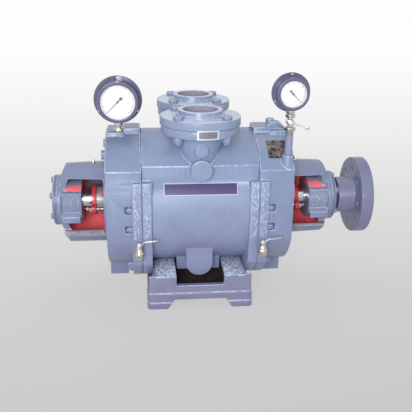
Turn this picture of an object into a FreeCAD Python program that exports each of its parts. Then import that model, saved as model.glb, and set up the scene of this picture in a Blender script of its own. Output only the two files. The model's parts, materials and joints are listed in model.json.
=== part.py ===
import FreeCAD, Part
import math
import os

# Liquid ring vacuum pump, in millimetres.
# X runs along the shaft towards the drive flange, -Y is the front, Z is up.
# The origin is on the floor, under the middle of the four foot holes.

Vector = FreeCAD.Vector

# Layout
shaft_height = 267.0
body_half = 158.0
gasket_thick = 1.5
head_length = 95.5
seat_gap = 0.3
fit_gap = 0.05

# Body casing
barrel_radius = 177.0
bore_radius = 150.0
bore_drop = 12.0
hood_radius = 205.0
hood_half_width = 150.0
hood_side_wall = 32.0
roof_wall = 12.0
dividing_wall = 12.0
joint_flange_radius = 222.0
joint_flange_half_width = 179.0
joint_pad_rise = 101.0
joint_flange_thick = 26.0
drain_boss_radius = 37.5
drain_boss_drop = 147.0
drain_boss_face = 146.0
drain_rib_half_length = 62.0
drain_rib_face = 104.0

# Ports on top
port_spacing = 224.0
port_bore_radius = 46.7
port_rise = 247.0
port_flange_radius = 105.0
port_flange_thick = 22.0
port_foot_bore_radius = 30.0
neck_top_radius = 68.0
neck_foot_radius = 36.0
neck_foot_rise = 131.0
companion_radius = 108.0
companion_thick = 22.0
companion_hub_radius = 60.0
companion_hub_height = 16.0
companion_step_radius = 65.0
companion_step_height = 5.0
port_gasket_thick = 2.0
port_bolt_circle = 178.0
port_bolt_diameter = 16.0
port_bolt_hole = 18.0
large_boss_radius = 29.2
large_boss_rise = 133.0
large_boss_face = 176.0
small_boss_radius = 18.5
small_boss_rise = 186.0
small_boss_face = 171.0

# Heads
drum_radius = 184.0
drum_half_width = 170.0
head_hood_half_width = 160.0
head_wall = 12.0
head_cavity_radius = 134.0
box_outer_radius = 66.0
box_bore_radius = 38.0
throat_length = 12.5
bottom_pad_length = 53.0
bottom_pad_half_width = 40.0
bottom_pad_drop = 225.0
lifting_block_length = 46.0
lifting_block_half_width = 35.0
lifting_block_rise = 217.0
top_land_half_width = 50.0
top_land_rise = 208.0
vent_boss_radius = 12.0
vent_boss_rise = 236.0
ear_radius = 28.0
ear_thick = 32.0

# Studs of the two body joints, as half width and rise from the shaft
joint_stud_diameter = 12.0
joint_nut_across = 18.0
joint_nut_height = 10.0
flank_studs = [(165.0, 24.0), (165.0, -31.0), (140.0, 85.0)]
lower_stud_circle = 203.0
lower_stud_angles = [-45.0, -68.0]
stud_thread_depth = 22.0
nut_pocket_radius = 11.2
nut_pocket_length = 19.0

# Pedestal
pedestal_half_depth = 185.0
pedestal_ledge_height = 101.0
pedestal_wall = 16.0
pedestal_end_wall = 10.0
pedestal_ledge_thick = 20.0
pedestal_floor_thick = 12.0
apron_gap = 0.5
apron_overhang = 12.5
foot_overhang = 15.5
foot_length = 56.0
foot_height = 28.0
foot_slope = 18.0
foot_half_depth = 188.0
foot_pad_depth = 80.0
skirt_height = 48.0
toe_height = 20.0
toe_step = 1.5
window_half_length = 67.0
window_sill_height = 70.0
window_corner = 14.0
foot_bolt_hole = 18.0
foot_bolt_inset = 24.5
foot_bolt_half_depth = 140.0

# Shaft and its pieces
shaft_radius = 27.0
sleeve_seat_radius = 25.0
bearing_seat_radius = 22.5
drive_seat_radius = 21.0
sleeve_radius = 29.0
sleeve_reach = 81.0
shaft_end_inset = 6.0

# Impeller and port plates
port_plate_thick = 8.0
impeller_end_gap = 0.5
impeller_radius = 136.0
impeller_hub_radius = 50.0
impeller_hub_swell = 8.0
impeller_web_thick = 10.0
impeller_web_inset = 5.0
blade_root_depth = 4.0
port_window_inset = 12.0
# Start and span in degrees, and outer radius, of the suction and discharge windows
port_windows = [(-60.0, 80.0, 118.0), (150.0, 50.0, 104.0)]
blade_count = 14
blade_thick = 6.5
blade_mid_lean = 5.0
blade_tip_lean = 20.0
key_width = 14.0
key_height = 5.5
impeller_key_length = 180.0

# Gland and packing
packing_ring_thick = 12.3
packing_pitch = 12.5
lantern_length = 18.0
gland_nose_gap = 0.5
gland_bore_radius = 30.5
gland_flange_reach = 33.0
gland_flange_thick = 12.0
gland_waist_radius = 45.0
gland_ear_radius = 13.0
gland_stud_radius = 5.0
gland_stud_circle = 52.0
gland_stud_tilt = 14.0
gland_stud_reach = 61.0
gland_stud_depth = 20.0

# Bearing brackets
bracket_radius = 111.5
bracket_taper = 5.0
bracket_slope = 15.0
sill_drop = 10.0
sill_slant = 24.0
bracket_wall = 20.0
bracket_length = 133.0
bracket_corner = 31.0
bracket_web = 20.0
bracket_ring_radius = 72.0
bracket_ring_thick = 8.0
bracket_bolt_circle = 160.0
bracket_bolt_across = 16.0
bracket_bolt_count = 6
bracket_bolt_diameter = 10.0
side_window_above = 83.0
side_window_depth = 66.0
housing_radius = 63.0
housing_reach = 73.0
housing_length = 68.0
housing_face = 60.0
housing_face_half_height = 40.0
ledge_reach = 12.0
ledge_drop = 30.0
ledge_thick = 17.0
housing_flange_radius = 72.4
housing_flange_thick = 12.0
housing_shoulder_radius = 44.0
housing_wall = 12.0

# Bearings, covers and nuts
bearing_reach = 95.0
bearing_width = 25.0
bearing_outer_radius = 50.0
inner_race_radius = 30.5
outer_race_bore = 42.0
ball_radius = 8.6
ball_count = 7
cover_thick = 12.0
cover_rim_radius = 49.7
cover_screw_circle = 122.0
cover_screw_count = 6
cover_screw_across = 16.0
cover_cone_length = 11.0
cover_screw_diameter = 10.0
cover_screw_depth = 10.0
lock_nut_radius = 33.0
lock_nut_thick = 12.0

# Drive flange
drive_hub_gap = 26.0
drive_hub_radius = 53.0
drive_hub_length = 48.0
drive_flange_radius = 112.0
drive_flange_thick = 36.0
drive_hole_circle = 163.0
drive_hole = 17.0
drive_hole_count = 8
drive_key_length = 60.0
drive_key_width = 12.0
drive_key_height = 4.5

# Large gauge on the left head
large_gauge_inset = 37.0
large_gauge_rise = 294.0
large_gauge_back = -18.0
large_gauge_flange_radius = 66.0
large_gauge_case_radius = 52.0
large_gauge_bezel_radius = 56.0
large_gauge_depth = 44.0
large_gauge_pointer_angle = 225.0

# Small gauge on its riser pipe
small_gauge_inset = 18.0
small_gauge_rise = 333.0
small_gauge_back = -127.0
small_gauge_flange_radius = 52.0
small_gauge_case_radius = 40.0
small_gauge_bezel_radius = 43.0
small_gauge_depth = 34.0
small_gauge_pointer_angle = -45.0
gauge_flange_thick = 2.5
bezel_lip = 2.0
bezel_skirt = 6.0
case_setback = 6.0
dial_setback = 9.0
gauge_wall = 2.0
dial_thick = 1.0
glass_thick = 2.0
riser_radius = 10.5
riser_boss_radius = 17.0
riser_boss_rise = 166.0
riser_socket_depth = 14.0
cock_drop = 77.0
cock_body_length = 26.0
gauge_union_drop = 14.0
cock_lever_length = 46.0

# Drain cocks on the joint flanges
drain_cock_offset = 8.5
drain_cock_rise = -89.0
drain_cock_reach = 21.0
drain_spout_length = 9.0
drain_lever_length = 50.0
drain_lever_thick = 4.0
drain_lever_width = 10.0

# Plates and small fittings
name_plate_length = 200.0
name_plate_low = 63.0
name_plate_high = 94.0
plate_thick = 0.8
head_plate_gap = 0.5
head_plate_length = 56.0
head_plate_low_angle = 49.5
head_plate_high_angle = 68.0
tag_start = -18.0
tag_end = 39.0
tag_low = 4.0
tag_height = 24.0
nipple_radius = 4.0
nipple_height = 12.0
nipple_reach = 39.0
nipple_seat_depth = 3.0
plug_spacing = 124.0
plug_rise = 150.0
plug_across = 24.0

# Sizes that follow from those above
pedestal_half_length = body_half - joint_flange_thick - apron_gap
apron_half_length = pedestal_half_length + apron_overhang
foot_half_length = pedestal_half_length + foot_overhang
foot_bolt_half_length = pedestal_half_length - foot_bolt_inset
head_start = body_half + gasket_thick
head_face = head_start + head_length
sleeve_end = head_face + sleeve_reach
bracket_end = head_face + bracket_length
housing_start = head_face + housing_reach
housing_end = housing_start + housing_length
bearing_start = head_face + bearing_reach
gland_flange_start = head_face + gland_flange_reach
gland_stud_end = head_face + gland_stud_reach
gland_nose_radius = box_bore_radius - gland_nose_gap
drive_hub_start = housing_end + drive_hub_gap
drive_flange_start = drive_hub_start + drive_hub_length
shaft_drive_end = drive_flange_start + drive_flange_thick - shaft_end_inset
large_gauge_x = large_gauge_inset - head_face
small_gauge_x = head_face - small_gauge_inset
cock_rise = small_gauge_rise - cock_drop
drain_cock_x = head_start + drain_cock_offset
head_plate_start = head_start + joint_flange_thick + head_plate_gap
bore_height = shaft_height - bore_drop
chamber_half_width = hood_half_width - hood_side_wall
port_y = port_spacing / 2
port_face = shaft_height + port_rise
companion_base = port_face + port_gasket_thick
companion_top = companion_base + companion_thick
plate_inner_face = head_start - port_plate_thick
impeller_half = plate_inner_face - impeller_end_gap
box_start = head_start + throat_length
packing_radius = box_bore_radius - 2 * fit_gap
cover_start = housing_end
lock_nut_start = bearing_start + bearing_width + 1.0
front = -1
rear = 1


def block(x0, x1, y0, y1, z0, z1):
    return Part.makeBox(x1 - x0, y1 - y0, z1 - z0, Vector(x0, y0, z0))


def bar(x0, x1, radius, y=0.0, z=shaft_height):
    return Part.makeCylinder(radius, x1 - x0, Vector(x0, y, z), Vector(1, 0, 0))


def spindle(y0, y1, radius, x, z):
    return Part.makeCylinder(radius, y1 - y0, Vector(x, y0, z), Vector(0, 1, 0))


def post(z0, z1, radius, x, y):
    return Part.makeCylinder(radius, z1 - z0, Vector(x, y, z0), Vector(0, 0, 1))


def ring(x0, x1, outer, inner):
    return bar(x0, x1, outer).cut(bar(x0, x1, inner))


def hexagon(across, height, base, axis):
    """Hexagonal prism on its base point, along X, Y or Z."""
    corner = across / math.sqrt(3)
    wire = Part.makePolygon([
        Vector(corner * math.cos(math.radians(60 * i)), corner * math.sin(math.radians(60 * i)), 0)
        for i in range(7)])
    prism = Part.Face(wire).extrude(Vector(0, 0, height))
    prism.Placement = FreeCAD.Placement(Vector(*base), FreeCAD.Rotation(Vector(0, 0, 1), Vector(*axis)))
    return prism


def turned(profile, centre, axis):
    """Solid of revolution: the profile is a list of edges in the plane through the axis."""
    face = Part.Face(Part.Wire(Part.__sortEdges__(profile)))
    return face.revolve(centre, axis, 360)


def shaft_point(x, radius):
    return Vector(x, 0, shaft_height + radius)


def lines(points):
    """Straight edges from each point to the next."""
    return [Part.LineSegment(a, b).toShape() for a, b in zip(points, points[1:])]


def mirrored(shape):
    """The same piece on the left end."""
    return shape.mirror(Vector(0, 0, 0), Vector(1, 0, 0))


def group(solids):
    return Part.Compound(solids)


def around(count, start=0.0):
    """Angles of an even pattern, in degrees."""
    return [start + 360.0 * i / count for i in range(count)]


def on_circle(radius, angle):
    """Y and Z of a point round the shaft, with 0 degrees at +Y."""
    turn = math.radians(angle)
    return radius * math.cos(turn), shaft_height + radius * math.sin(turn)


def joint_studs_places():
    """Y and Z of the studs round one body joint."""
    places = []
    for half_width, rise in flank_studs:
        places += [(-half_width, shaft_height + rise), (half_width, shaft_height + rise)]
    for angle in lower_stud_angles:
        y, z = on_circle(lower_stud_circle, angle)
        places += [(-y, z), (y, z)]
    places.append((0.0, shaft_height - lower_stud_circle))
    return places


def joint_outline(x0, x1):
    """The joint flange: a flat sided pad with a ledge on top, flush with the barrel above it."""
    lower = bar(x0, x1, joint_flange_radius)
    lower = lower.common(block(x0, x1, -joint_flange_half_width, joint_flange_half_width,
                               shaft_height - joint_flange_radius - 1, shaft_height + joint_pad_rise))
    return lower.fuse(bar(x0, x1, barrel_radius))


def hood(x0, x1, radius=hood_radius, half_width=hood_half_width):
    """The arched top, cut off by two upright faces."""
    arch = bar(x0, x1, radius)
    return arch.common(block(x0, x1, -half_width, half_width, shaft_height, shaft_height + radius))


def gas_chamber(x0, x1):
    """The hollow under the hood, in two halves beside the dividing wall."""
    hollow = hood(x0, x1, hood_radius - roof_wall, chamber_half_width)
    hollow = hollow.cut(bar(x0, x1, bore_radius + roof_wall, 0, bore_height))
    return hollow.cut(block(x0, x1, -dividing_wall / 2, dividing_wall / 2,
                            shaft_height, shaft_height + hood_radius))


def port_bolt_places(y):
    reach = port_bolt_circle / 2 * math.sqrt(0.5)
    return [(dx * reach, y + dy * reach) for dx in (-1, 1) for dy in (-1, 1)]


def neck(side):
    """One port neck with its flange and the two round bosses on its outer face."""
    y = side * port_y
    foot = shaft_height + neck_foot_rise
    flange_base = port_face - port_flange_thick
    shape = Part.makeCone(neck_foot_radius, neck_top_radius, flange_base - foot, Vector(0, y, foot))
    flange = post(flange_base, port_face, port_flange_radius, 0, y)
    low_rim = [edge for edge in flange.Edges if abs(edge.BoundBox.ZMax - flange_base) < 0.01]
    shape = shape.fuse(flange.makeFillet(min(6.0, port_flange_thick / 3), low_rim[:1]))
    for radius, rise, face in ((large_boss_radius, large_boss_rise, large_boss_face),
                               (small_boss_radius, small_boss_rise, small_boss_face)):
        boss = Part.makeCylinder(radius, face - port_y, Vector(0, y, shaft_height + rise),
                                 Vector(0, side, 0))
        shape = shape.fuse(boss)
    return shape


def neck_bore(side):
    y = side * port_y
    foot = shaft_height + neck_foot_rise + roof_wall
    return Part.makeCone(port_foot_bore_radius, port_bore_radius, port_face - foot, Vector(0, y, foot))


def drain_boss():
    """The D shaped boss under the front of the barrel, with the rib behind it."""
    z = shaft_height - drain_boss_drop
    boss = spindle(-drain_boss_face, -drain_boss_radius, drain_boss_radius, 0, z)
    boss = boss.fuse(block(-drain_boss_radius, drain_boss_radius, -drain_boss_face, -drain_boss_radius,
                           z, shaft_height - barrel_radius / 2))
    rib = block(-drain_rib_half_length, drain_rib_half_length, -drain_rib_face, -drain_boss_radius,
                z - drain_boss_radius, shaft_height - barrel_radius / 2)
    boss = boss.cut(bar(-drain_boss_radius, drain_boss_radius, barrel_radius - roof_wall))
    rib = rib.cut(bar(-drain_rib_half_length, drain_rib_half_length, barrel_radius - roof_wall))
    return boss.fuse(rib)


def body_casing():
    shape = bar(-body_half, body_half, barrel_radius)
    shape = shape.fuse([hood(-body_half, body_half), drain_boss(), neck(front), neck(rear),
                        joint_outline(-body_half, joint_flange_thick - body_half),
                        joint_outline(body_half - joint_flange_thick, body_half)])
    hollows = [bar(-body_half, body_half, bore_radius, 0, bore_height),
               gas_chamber(-body_half, body_half), neck_bore(front), neck_bore(rear)]
    for y, z in joint_studs_places():
        hollows.append(bar(-body_half, stud_thread_depth - body_half, joint_stud_diameter / 2, y, z))
        hollows.append(bar(body_half - stud_thread_depth, body_half, joint_stud_diameter / 2, y, z))
    for side in (front, rear):
        for x, y in port_bolt_places(side * port_y):
            hollows.append(post(port_face - port_flange_thick, port_face, port_bolt_hole / 2, x, y))
    return shape.cut(hollows).removeSplitter()


def pedestal():
    """Hollow box with a window and a ledge cut out front and rear, on four feet."""
    half_length = pedestal_half_length
    shape = block(-half_length, half_length, -pedestal_half_depth, pedestal_half_depth,
                  0, pedestal_ledge_height)
    skirt = block(-foot_half_length, foot_half_length, -foot_half_depth, foot_half_depth, 0, skirt_height)
    skirt = skirt.makeFillet(10.0, [edge for edge in skirt.Edges if edge.BoundBox.ZLength > 1])
    toes = block(-foot_half_length - toe_step, foot_half_length + toe_step,
                 -foot_half_depth - toe_step, foot_half_depth + toe_step, 0, toe_height)
    toes = toes.makeFillet(12.0, [edge for edge in toes.Edges if edge.BoundBox.ZLength > 1])
    aprons = []
    for side in (front, rear):
        y = sorted((side * (joint_flange_half_width + apron_gap), side * pedestal_half_depth))
        apron = block(-apron_half_length, apron_half_length, y[0], y[1],
                      toe_height / 2, pedestal_ledge_height)
        upright = [edge for edge in apron.Edges if edge.BoundBox.ZLength > 1
                   and abs(abs(edge.BoundBox.Center.y) - pedestal_half_depth) < 0.01]
        aprons.append(apron.makeFillet(0.8 * (y[1] - y[0]), upright))
    shape = shape.fuse([skirt, toes] + aprons)

    inner = half_length - pedestal_end_wall
    cavity = block(-inner, inner, pedestal_wall - pedestal_half_depth, pedestal_half_depth - pedestal_wall,
                   foot_height + pedestal_floor_thick, pedestal_ledge_height - pedestal_ledge_thick)
    window = block(-window_half_length, window_half_length, -foot_half_depth - 5, foot_half_depth + 5,
                   window_sill_height, pedestal_ledge_height + 1)
    back = drain_boss_radius - window_corner - apron_gap
    middle = block(-window_half_length, window_half_length, -back, back,
                   window_sill_height, pedestal_ledge_height + 1)
    window = window.cut(middle)
    corners = [edge for edge in window.Edges if edge.BoundBox.ZLength > 1
               and abs(abs(edge.BoundBox.Center.y) - back) < 0.01]
    window = window.makeFillet(window_corner, corners)
    foot_inner = foot_half_length - foot_length
    arch = Part.Face(Part.makePolygon([
        Vector(-foot_inner, -foot_half_depth - 5, -1), Vector(foot_slope - foot_inner, -foot_half_depth - 5, foot_height),
        Vector(foot_inner - foot_slope, -foot_half_depth - 5, foot_height), Vector(foot_inner, -foot_half_depth - 5, -1),
        Vector(-foot_inner, -foot_half_depth - 5, -1)])).extrude(Vector(0, 2 * foot_half_depth + 10, 0))
    side_gap = foot_half_depth - foot_pad_depth
    side_arch = Part.Face(Part.makePolygon([
        Vector(-foot_half_length - 5, -side_gap, -1), Vector(-foot_half_length - 5, foot_slope - side_gap, foot_height),
        Vector(-foot_half_length - 5, side_gap - foot_slope, foot_height), Vector(-foot_half_length - 5, side_gap, -1),
        Vector(-foot_half_length - 5, -side_gap, -1)])).extrude(Vector(2 * foot_half_length + 10, 0, 0))
    cuts = [cavity, window, arch, side_arch,
            bar(-half_length, half_length, barrel_radius + seat_gap)]
    flange_room = bar(half_length, foot_half_length + 5, joint_flange_radius + 2)
    flange_room = flange_room.common(block(half_length, foot_half_length + 5,
                                           -joint_flange_half_width - apron_gap,
                                           joint_flange_half_width + apron_gap, 0, shaft_height))
    cuts += [flange_room, mirrored(flange_room)]
    for x in (-foot_bolt_half_length, foot_bolt_half_length):
        for y in (-foot_bolt_half_depth, foot_bolt_half_depth):
            cuts.append(post(-1, foot_height + pedestal_floor_thick + 1, foot_bolt_hole / 2, x, y))
    return shape.cut(cuts).removeSplitter()


def head(right):
    """End casing: flanged drum under the hood, hollow round the stuffing box."""
    x0, x1 = head_start, head_face
    drum = bar(x0, x1, drum_radius)
    drum = drum.common(block(x0, x1, -drum_half_width, drum_half_width,
                             shaft_height - drum_radius - 1, shaft_height + drum_radius + 1))
    block_top = shaft_height + lifting_block_rise
    pieces = [hood(x0, x1, hood_radius, head_hood_half_width),
              joint_outline(x0, x0 + joint_flange_thick),
              block(x1 - bottom_pad_length - 1, x1 - 1, -bottom_pad_half_width, bottom_pad_half_width,
                    shaft_height - bottom_pad_drop, shaft_height - drum_radius / 2),
              block(x0, x0 + lifting_block_length, -lifting_block_half_width, lifting_block_half_width,
                    shaft_height + hood_radius / 2, block_top),
              block(x0 + lifting_block_length, x1 - 3, -top_land_half_width, top_land_half_width,
                    shaft_height + hood_radius / 2, shaft_height + top_land_rise)]
    if right:
        vent_x = x0 + lifting_block_length + vent_boss_radius / 2
        ear_x = x1 - ear_radius
        pieces += [post(shaft_height + hood_radius / 2, shaft_height + vent_boss_rise,
                        vent_boss_radius, vent_x, 0),
                   spindle(-ear_thick / 2, ear_thick / 2, ear_radius, ear_x, shaft_height + hood_radius - 5),
                   post(shaft_height + hood_half_width - hood_side_wall, shaft_height + riser_boss_rise,
                        riser_boss_radius, small_gauge_x, riser_y())]
    shape = drum.fuse(pieces)

    cavity = bar(x0, x1 - head_wall, head_cavity_radius)
    cavity = cavity.fuse(hood(x0, x1 - head_wall, hood_radius - roof_wall, chamber_half_width))
    cavity = cavity.cut([bar(x0, x1, box_outer_radius),
                         block(x0, x1, -dividing_wall / 2, dividing_wall / 2,
                               shaft_height - head_cavity_radius, shaft_height + hood_radius)])
    cuts = [cavity, bar(x0, x1, gland_bore_radius), bar(box_start, x1, box_bore_radius)]
    for y, z in joint_studs_places():
        cuts.append(bar(x0, x0 + joint_flange_thick, joint_stud_diameter / 2 + 0.5, y, z))
        cuts.append(bar(x0 + joint_flange_thick, x0 + joint_flange_thick + nut_pocket_length,
                        nut_pocket_radius, y, z))
    for angle in around(bracket_bolt_count, 30.0):
        y, z = on_circle(bracket_bolt_circle / 2, angle)
        cuts.append(bar(x1 - head_wall + 2, x1, bracket_bolt_diameter / 2, y, z))
    for y, z in gland_stud_places():
        cuts.append(bar(x1 - gland_stud_depth, x1, gland_stud_radius, y, z))
    if right:
        cuts.append(post(shaft_height + riser_boss_rise - 14, shaft_height + riser_boss_rise,
                         riser_radius, small_gauge_x, riser_y()))
    shape = shape.cut(cuts)
    return shape.removeSplitter()


def head_gaskets():
    x0, x1 = body_half, head_start
    sheet = joint_outline(x0, x1).fuse(hood(x0, x1))
    cuts = [bar(x0, x1, bore_radius, 0, bore_height), gas_chamber(x0, x1)]
    cuts += [bar(x0, x1, joint_stud_diameter / 2 + 0.5, y, z) for y, z in joint_studs_places()]
    sheet = sheet.cut(cuts).removeSplitter()
    return group([sheet, mirrored(sheet)])


def port_plate():
    """Plate with the kidney shaped suction and discharge windows."""
    x0, x1 = plate_inner_face, head_start
    shape = bar(x0, x1, bore_radius - seat_gap, 0, bore_height)
    cuts = [bar(x0, x1, gland_bore_radius)]
    for start, span, outer in port_windows:
        sector = Part.makeCylinder(outer, x1 - x0, Vector(x0, 0, shaft_height), Vector(1, 0, 0), span)
        sector = sector.cut(bar(x0, x1, impeller_hub_radius + impeller_hub_swell + port_window_inset))
        sector.rotate(Vector(0, 0, shaft_height), Vector(1, 0, 0), start)
        cuts.append(sector)
    return shape.cut(cuts)


def joint_studs():
    """Studs in the body flange, with their nuts on the head side."""
    nut_start = head_start + joint_flange_thick
    solids = []
    for y, z in joint_studs_places():
        stud = bar(body_half - stud_thread_depth, nut_start + joint_nut_height + 5,
                   joint_stud_diameter / 2, y, z)
        solids.append(stud.fuse(hexagon(joint_nut_across, joint_nut_height, (nut_start, y, z), (1, 0, 0))))
    return group(solids)


def companion_flange(side):
    """Pipe flange with the raised hub that the pipe is joined to."""
    y = side * port_y
    shape = post(companion_base, companion_top, companion_radius, 0, y)
    rim = [edge for edge in shape.Edges if edge.Closed]
    shape = shape.makeChamfer(1.2, rim)
    shape = shape.fuse([post(companion_top, companion_top + companion_step_height,
                             companion_step_radius, 0, y),
                        post(companion_top, companion_top + companion_hub_height,
                             companion_hub_radius, 0, y)])
    cuts = [post(companion_base, companion_top + companion_hub_height, port_bore_radius, 0, y)]
    cuts += [post(companion_base, companion_top, port_bolt_hole / 2, x, v)
             for x, v in port_bolt_places(y)]
    return shape.cut(cuts)


def port_gaskets():
    solids = []
    for side in (front, rear):
        y = side * port_y
        sheet = post(port_face, companion_base, port_flange_radius, 0, y)
        cuts = [post(port_face, companion_base, port_bore_radius + 1.5, 0, y)]
        cuts += [post(port_face, companion_base, port_bolt_hole / 2, x, v)
                 for x, v in port_bolt_places(y)]
        solids.append(sheet.cut(cuts))
    return group(solids)


def port_bolts(side):
    """Hexagon bolts from above, with nuts under the casing flange."""
    nut_top = port_face - port_flange_thick
    head_height, nut_height, across = 10.0, 13.0, 24.0
    solids = []
    for x, y in port_bolt_places(side * port_y):
        bolt = post(nut_top - nut_height - 7, companion_top, port_bolt_diameter / 2, x, y)
        solids.append(bolt.fuse([hexagon(across, head_height, (x, y, companion_top), (0, 0, 1)),
                                 hexagon(across, nut_height, (x, y, nut_top - nut_height), (0, 0, 1))]))
    return group(solids)


def bracket(right):
    """Lantern casting, open at the front, that carries the bearing housing."""
    inner = bracket_radius - bracket_wall
    corner_inner = bracket_corner - 11.0
    turn = math.sqrt(0.5)
    web_face = bracket_end - bracket_web
    arm_end = bracket_end - bracket_slope
    fillet = Part.Arc(shaft_point(web_face - corner_inner, inner),
                      shaft_point(web_face - corner_inner * (1 - turn), inner - corner_inner * (1 - turn)),
                      shaft_point(web_face, inner - corner_inner)).toShape()
    edges = lines([shaft_point(web_face - corner_inner, inner), shaft_point(head_face, inner),
                   shaft_point(head_face, bracket_radius),
                   shaft_point(arm_end, bracket_radius - bracket_taper),
                   shaft_point(bracket_end, housing_flange_radius + 2),
                   shaft_point(bracket_end, housing_shoulder_radius),
                   shaft_point(web_face, housing_shoulder_radius),
                   shaft_point(web_face, inner - corner_inner)])
    shell = turned(edges + [fillet], Vector(0, 0, shaft_height), Vector(1, 0, 0))
    shoulder = [edge for edge in shell.Edges if abs(edge.BoundBox.Center.x - arm_end) < 0.1
                and edge.BoundBox.XLength < 0.1]
    shell = shell.makeFillet(8.0, shoulder)
    depth = side_window_depth
    pieces = []
    if not right:
        depth += sill_drop
        pieces.append(sill(shaft_height - depth))
    window = block(head_face + bracket_ring_thick, bracket_end + bracket_corner,
                   -bracket_radius - 1, -housing_shoulder_radius,
                   shaft_height - depth, shaft_height + side_window_above)
    window = window.makeFillet(10.0, [edge for edge in window.Edges if edge.BoundBox.YLength > 1
                                      and edge.BoundBox.Center.x < bracket_end])
    shell = shell.cut(window)
    foot = ring(head_face, head_face + bracket_ring_thick, bracket_radius - 1, bracket_ring_radius)
    housing = bar(housing_start, housing_end, housing_radius)
    face = block(housing_start, bracket_end, -housing_face, 0, shaft_height - housing_face_half_height,
                 shaft_height + housing_face_half_height)
    face = face.makeFillet(8.0, [edge for edge in face.Edges if edge.BoundBox.XLength > 1
                                 and edge.BoundBox.Center.y < 1 - housing_face])
    flange = bar(housing_end - housing_flange_thick, housing_end, housing_flange_radius)
    shape = shell.fuse(pieces + [foot, housing, face, flange, ledge()])
    cuts = [bar(housing_start, housing_end, gland_bore_radius),
            bar(housing_start + housing_wall, housing_end, housing_shoulder_radius),
            bar(bearing_start, housing_end, bearing_outer_radius)]
    for angle in around(bracket_bolt_count, 30.0):
        y, z = on_circle(bracket_bolt_circle / 2, angle)
        cuts.append(bar(head_face, head_face + bracket_ring_thick, bracket_bolt_diameter / 2 + 0.5, y, z))
    for angle in around(cover_screw_count, 30.0):
        y, z = on_circle(cover_screw_circle / 2, angle)
        cuts.append(bar(housing_end - cover_screw_depth, housing_end, cover_screw_diameter / 2, y, z))
    return shape.cut(cuts + [nipple_seat()]).removeSplitter()


def sill(top):
    """Thick lower edge of the left lantern casting, with its end cut off at a slant."""
    inner = bracket_radius - bracket_wall / 2
    outer = bracket_radius + sill_drop
    edges = lines([shaft_point(head_face, inner), shaft_point(head_face, outer),
                   shaft_point(bracket_end - sill_slant, outer),
                   shaft_point(bracket_end - bracket_slope / 2, inner), shaft_point(head_face, inner)])
    band = turned(edges, Vector(0, 0, shaft_height), Vector(1, 0, 0))
    return band.common(block(head_face, bracket_end, -outer, outer, shaft_height - outer, top))


def ledge():
    """Sloped ledge along the foot of the housing's front face."""
    start = housing_start + 4
    top = shaft_height - ledge_drop
    low = top - ledge_thick
    front = -housing_face - ledge_reach
    face = Part.Face(Part.makePolygon([Vector(start, y, z) for y, z in (
        (-housing_face + 12, low), (front, low), (front, top), (-housing_face, top + ledge_reach),
        (-housing_face + 12, top + ledge_reach), (-housing_face + 12, low))]))
    return face.extrude(Vector(bracket_end - start - 4, 0, 0))


def bracket_bolts():
    seat = head_face + bracket_ring_thick
    solids = []
    for angle in around(bracket_bolt_count, 30.0):
        y, z = on_circle(bracket_bolt_circle / 2, angle)
        shank = bar(head_face - head_wall + 2, seat, bracket_bolt_diameter / 2, y, z)
        solids.append(shank.fuse(hexagon(bracket_bolt_across, 6.5, (seat, y, z), (1, 0, 0))))
    return group(solids + [mirrored(solid) for solid in solids])


def packing_rings():
    """Two rings inside and two outside the lantern ring, at each end."""
    outer_start = box_start + 2 * packing_pitch + lantern_length
    starts = [box_start, box_start + packing_pitch, outer_start, outer_start + packing_pitch]
    solids = [ring(x, x + packing_ring_thick, packing_radius, sleeve_radius + seat_gap) for x in starts]
    return group(solids + [mirrored(solid) for solid in solids])


def lantern_rings():
    x0 = box_start + 2 * packing_pitch
    middle = (packing_radius + sleeve_radius) / 2
    shape = ring(x0, x0 + lantern_length - 0.2, packing_radius, sleeve_radius + seat_gap)
    groove_length = lantern_length / 2
    groove_start = x0 + lantern_length / 4
    shape = shape.cut(ring(groove_start, groove_start + groove_length, packing_radius + 1, middle + 2))
    return group([shape, mirrored(shape)])


def gland_stud_places():
    """Y and Z of the two gland studs: low at the front, high at the rear."""
    return [on_circle(gland_stud_circle, gland_stud_tilt),
            on_circle(gland_stud_circle, 180.0 + gland_stud_tilt)]


def gland():
    """Oval gland follower with the nose that presses on the packing."""
    nose_start = box_start + 4 * packing_pitch + lantern_length
    x0, x1 = gland_flange_start, gland_flange_start + gland_flange_thick
    ears = [bar(x0, x1, gland_ear_radius, y, z) for y, z in gland_stud_places()]
    waist = bar(x0, x1, gland_waist_radius)
    bridge = block(x0, x1, -gland_stud_circle, gland_stud_circle,
                   shaft_height - gland_ear_radius, shaft_height + gland_ear_radius)
    bridge.rotate(Vector(0, 0, shaft_height), Vector(1, 0, 0), gland_stud_tilt)
    shape = waist.fuse(ears + [bridge, bar(nose_start, x0, gland_nose_radius)])
    cuts = [bar(nose_start, x1, gland_bore_radius)]
    cuts += [bar(x0, x1, gland_stud_radius + 0.5, y, z) for y, z in gland_stud_places()]
    return shape.cut(cuts).removeSplitter()


def gland_studs():
    nut_start = gland_flange_start + gland_flange_thick
    solids = []
    for y, z in gland_stud_places():
        stud = bar(head_face - gland_stud_depth, gland_stud_end, gland_stud_radius, y, z)
        solids.append(stud.fuse(hexagon(17.0, 8.0, (nut_start, y, z), (1, 0, 0))))
    return group(solids + [mirrored(solid) for solid in solids])


def ball_pitch_radius():
    return (inner_race_radius + outer_race_bore) / 2


def ball_groove():
    middle = bearing_start + bearing_width / 2
    return Part.makeTorus(ball_pitch_radius(), ball_radius + seat_gap, Vector(middle, 0, shaft_height),
                          Vector(1, 0, 0))


def bearing_outer_races():
    race = ring(bearing_start, bearing_start + bearing_width, bearing_outer_radius - fit_gap,
                outer_race_bore).cut(ball_groove())
    return group([race, mirrored(race)])


def bearing_inner_races():
    race = ring(bearing_start, bearing_start + bearing_width, inner_race_radius,
                bearing_seat_radius + fit_gap).cut(ball_groove())
    return group([race, mirrored(race)])


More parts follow.
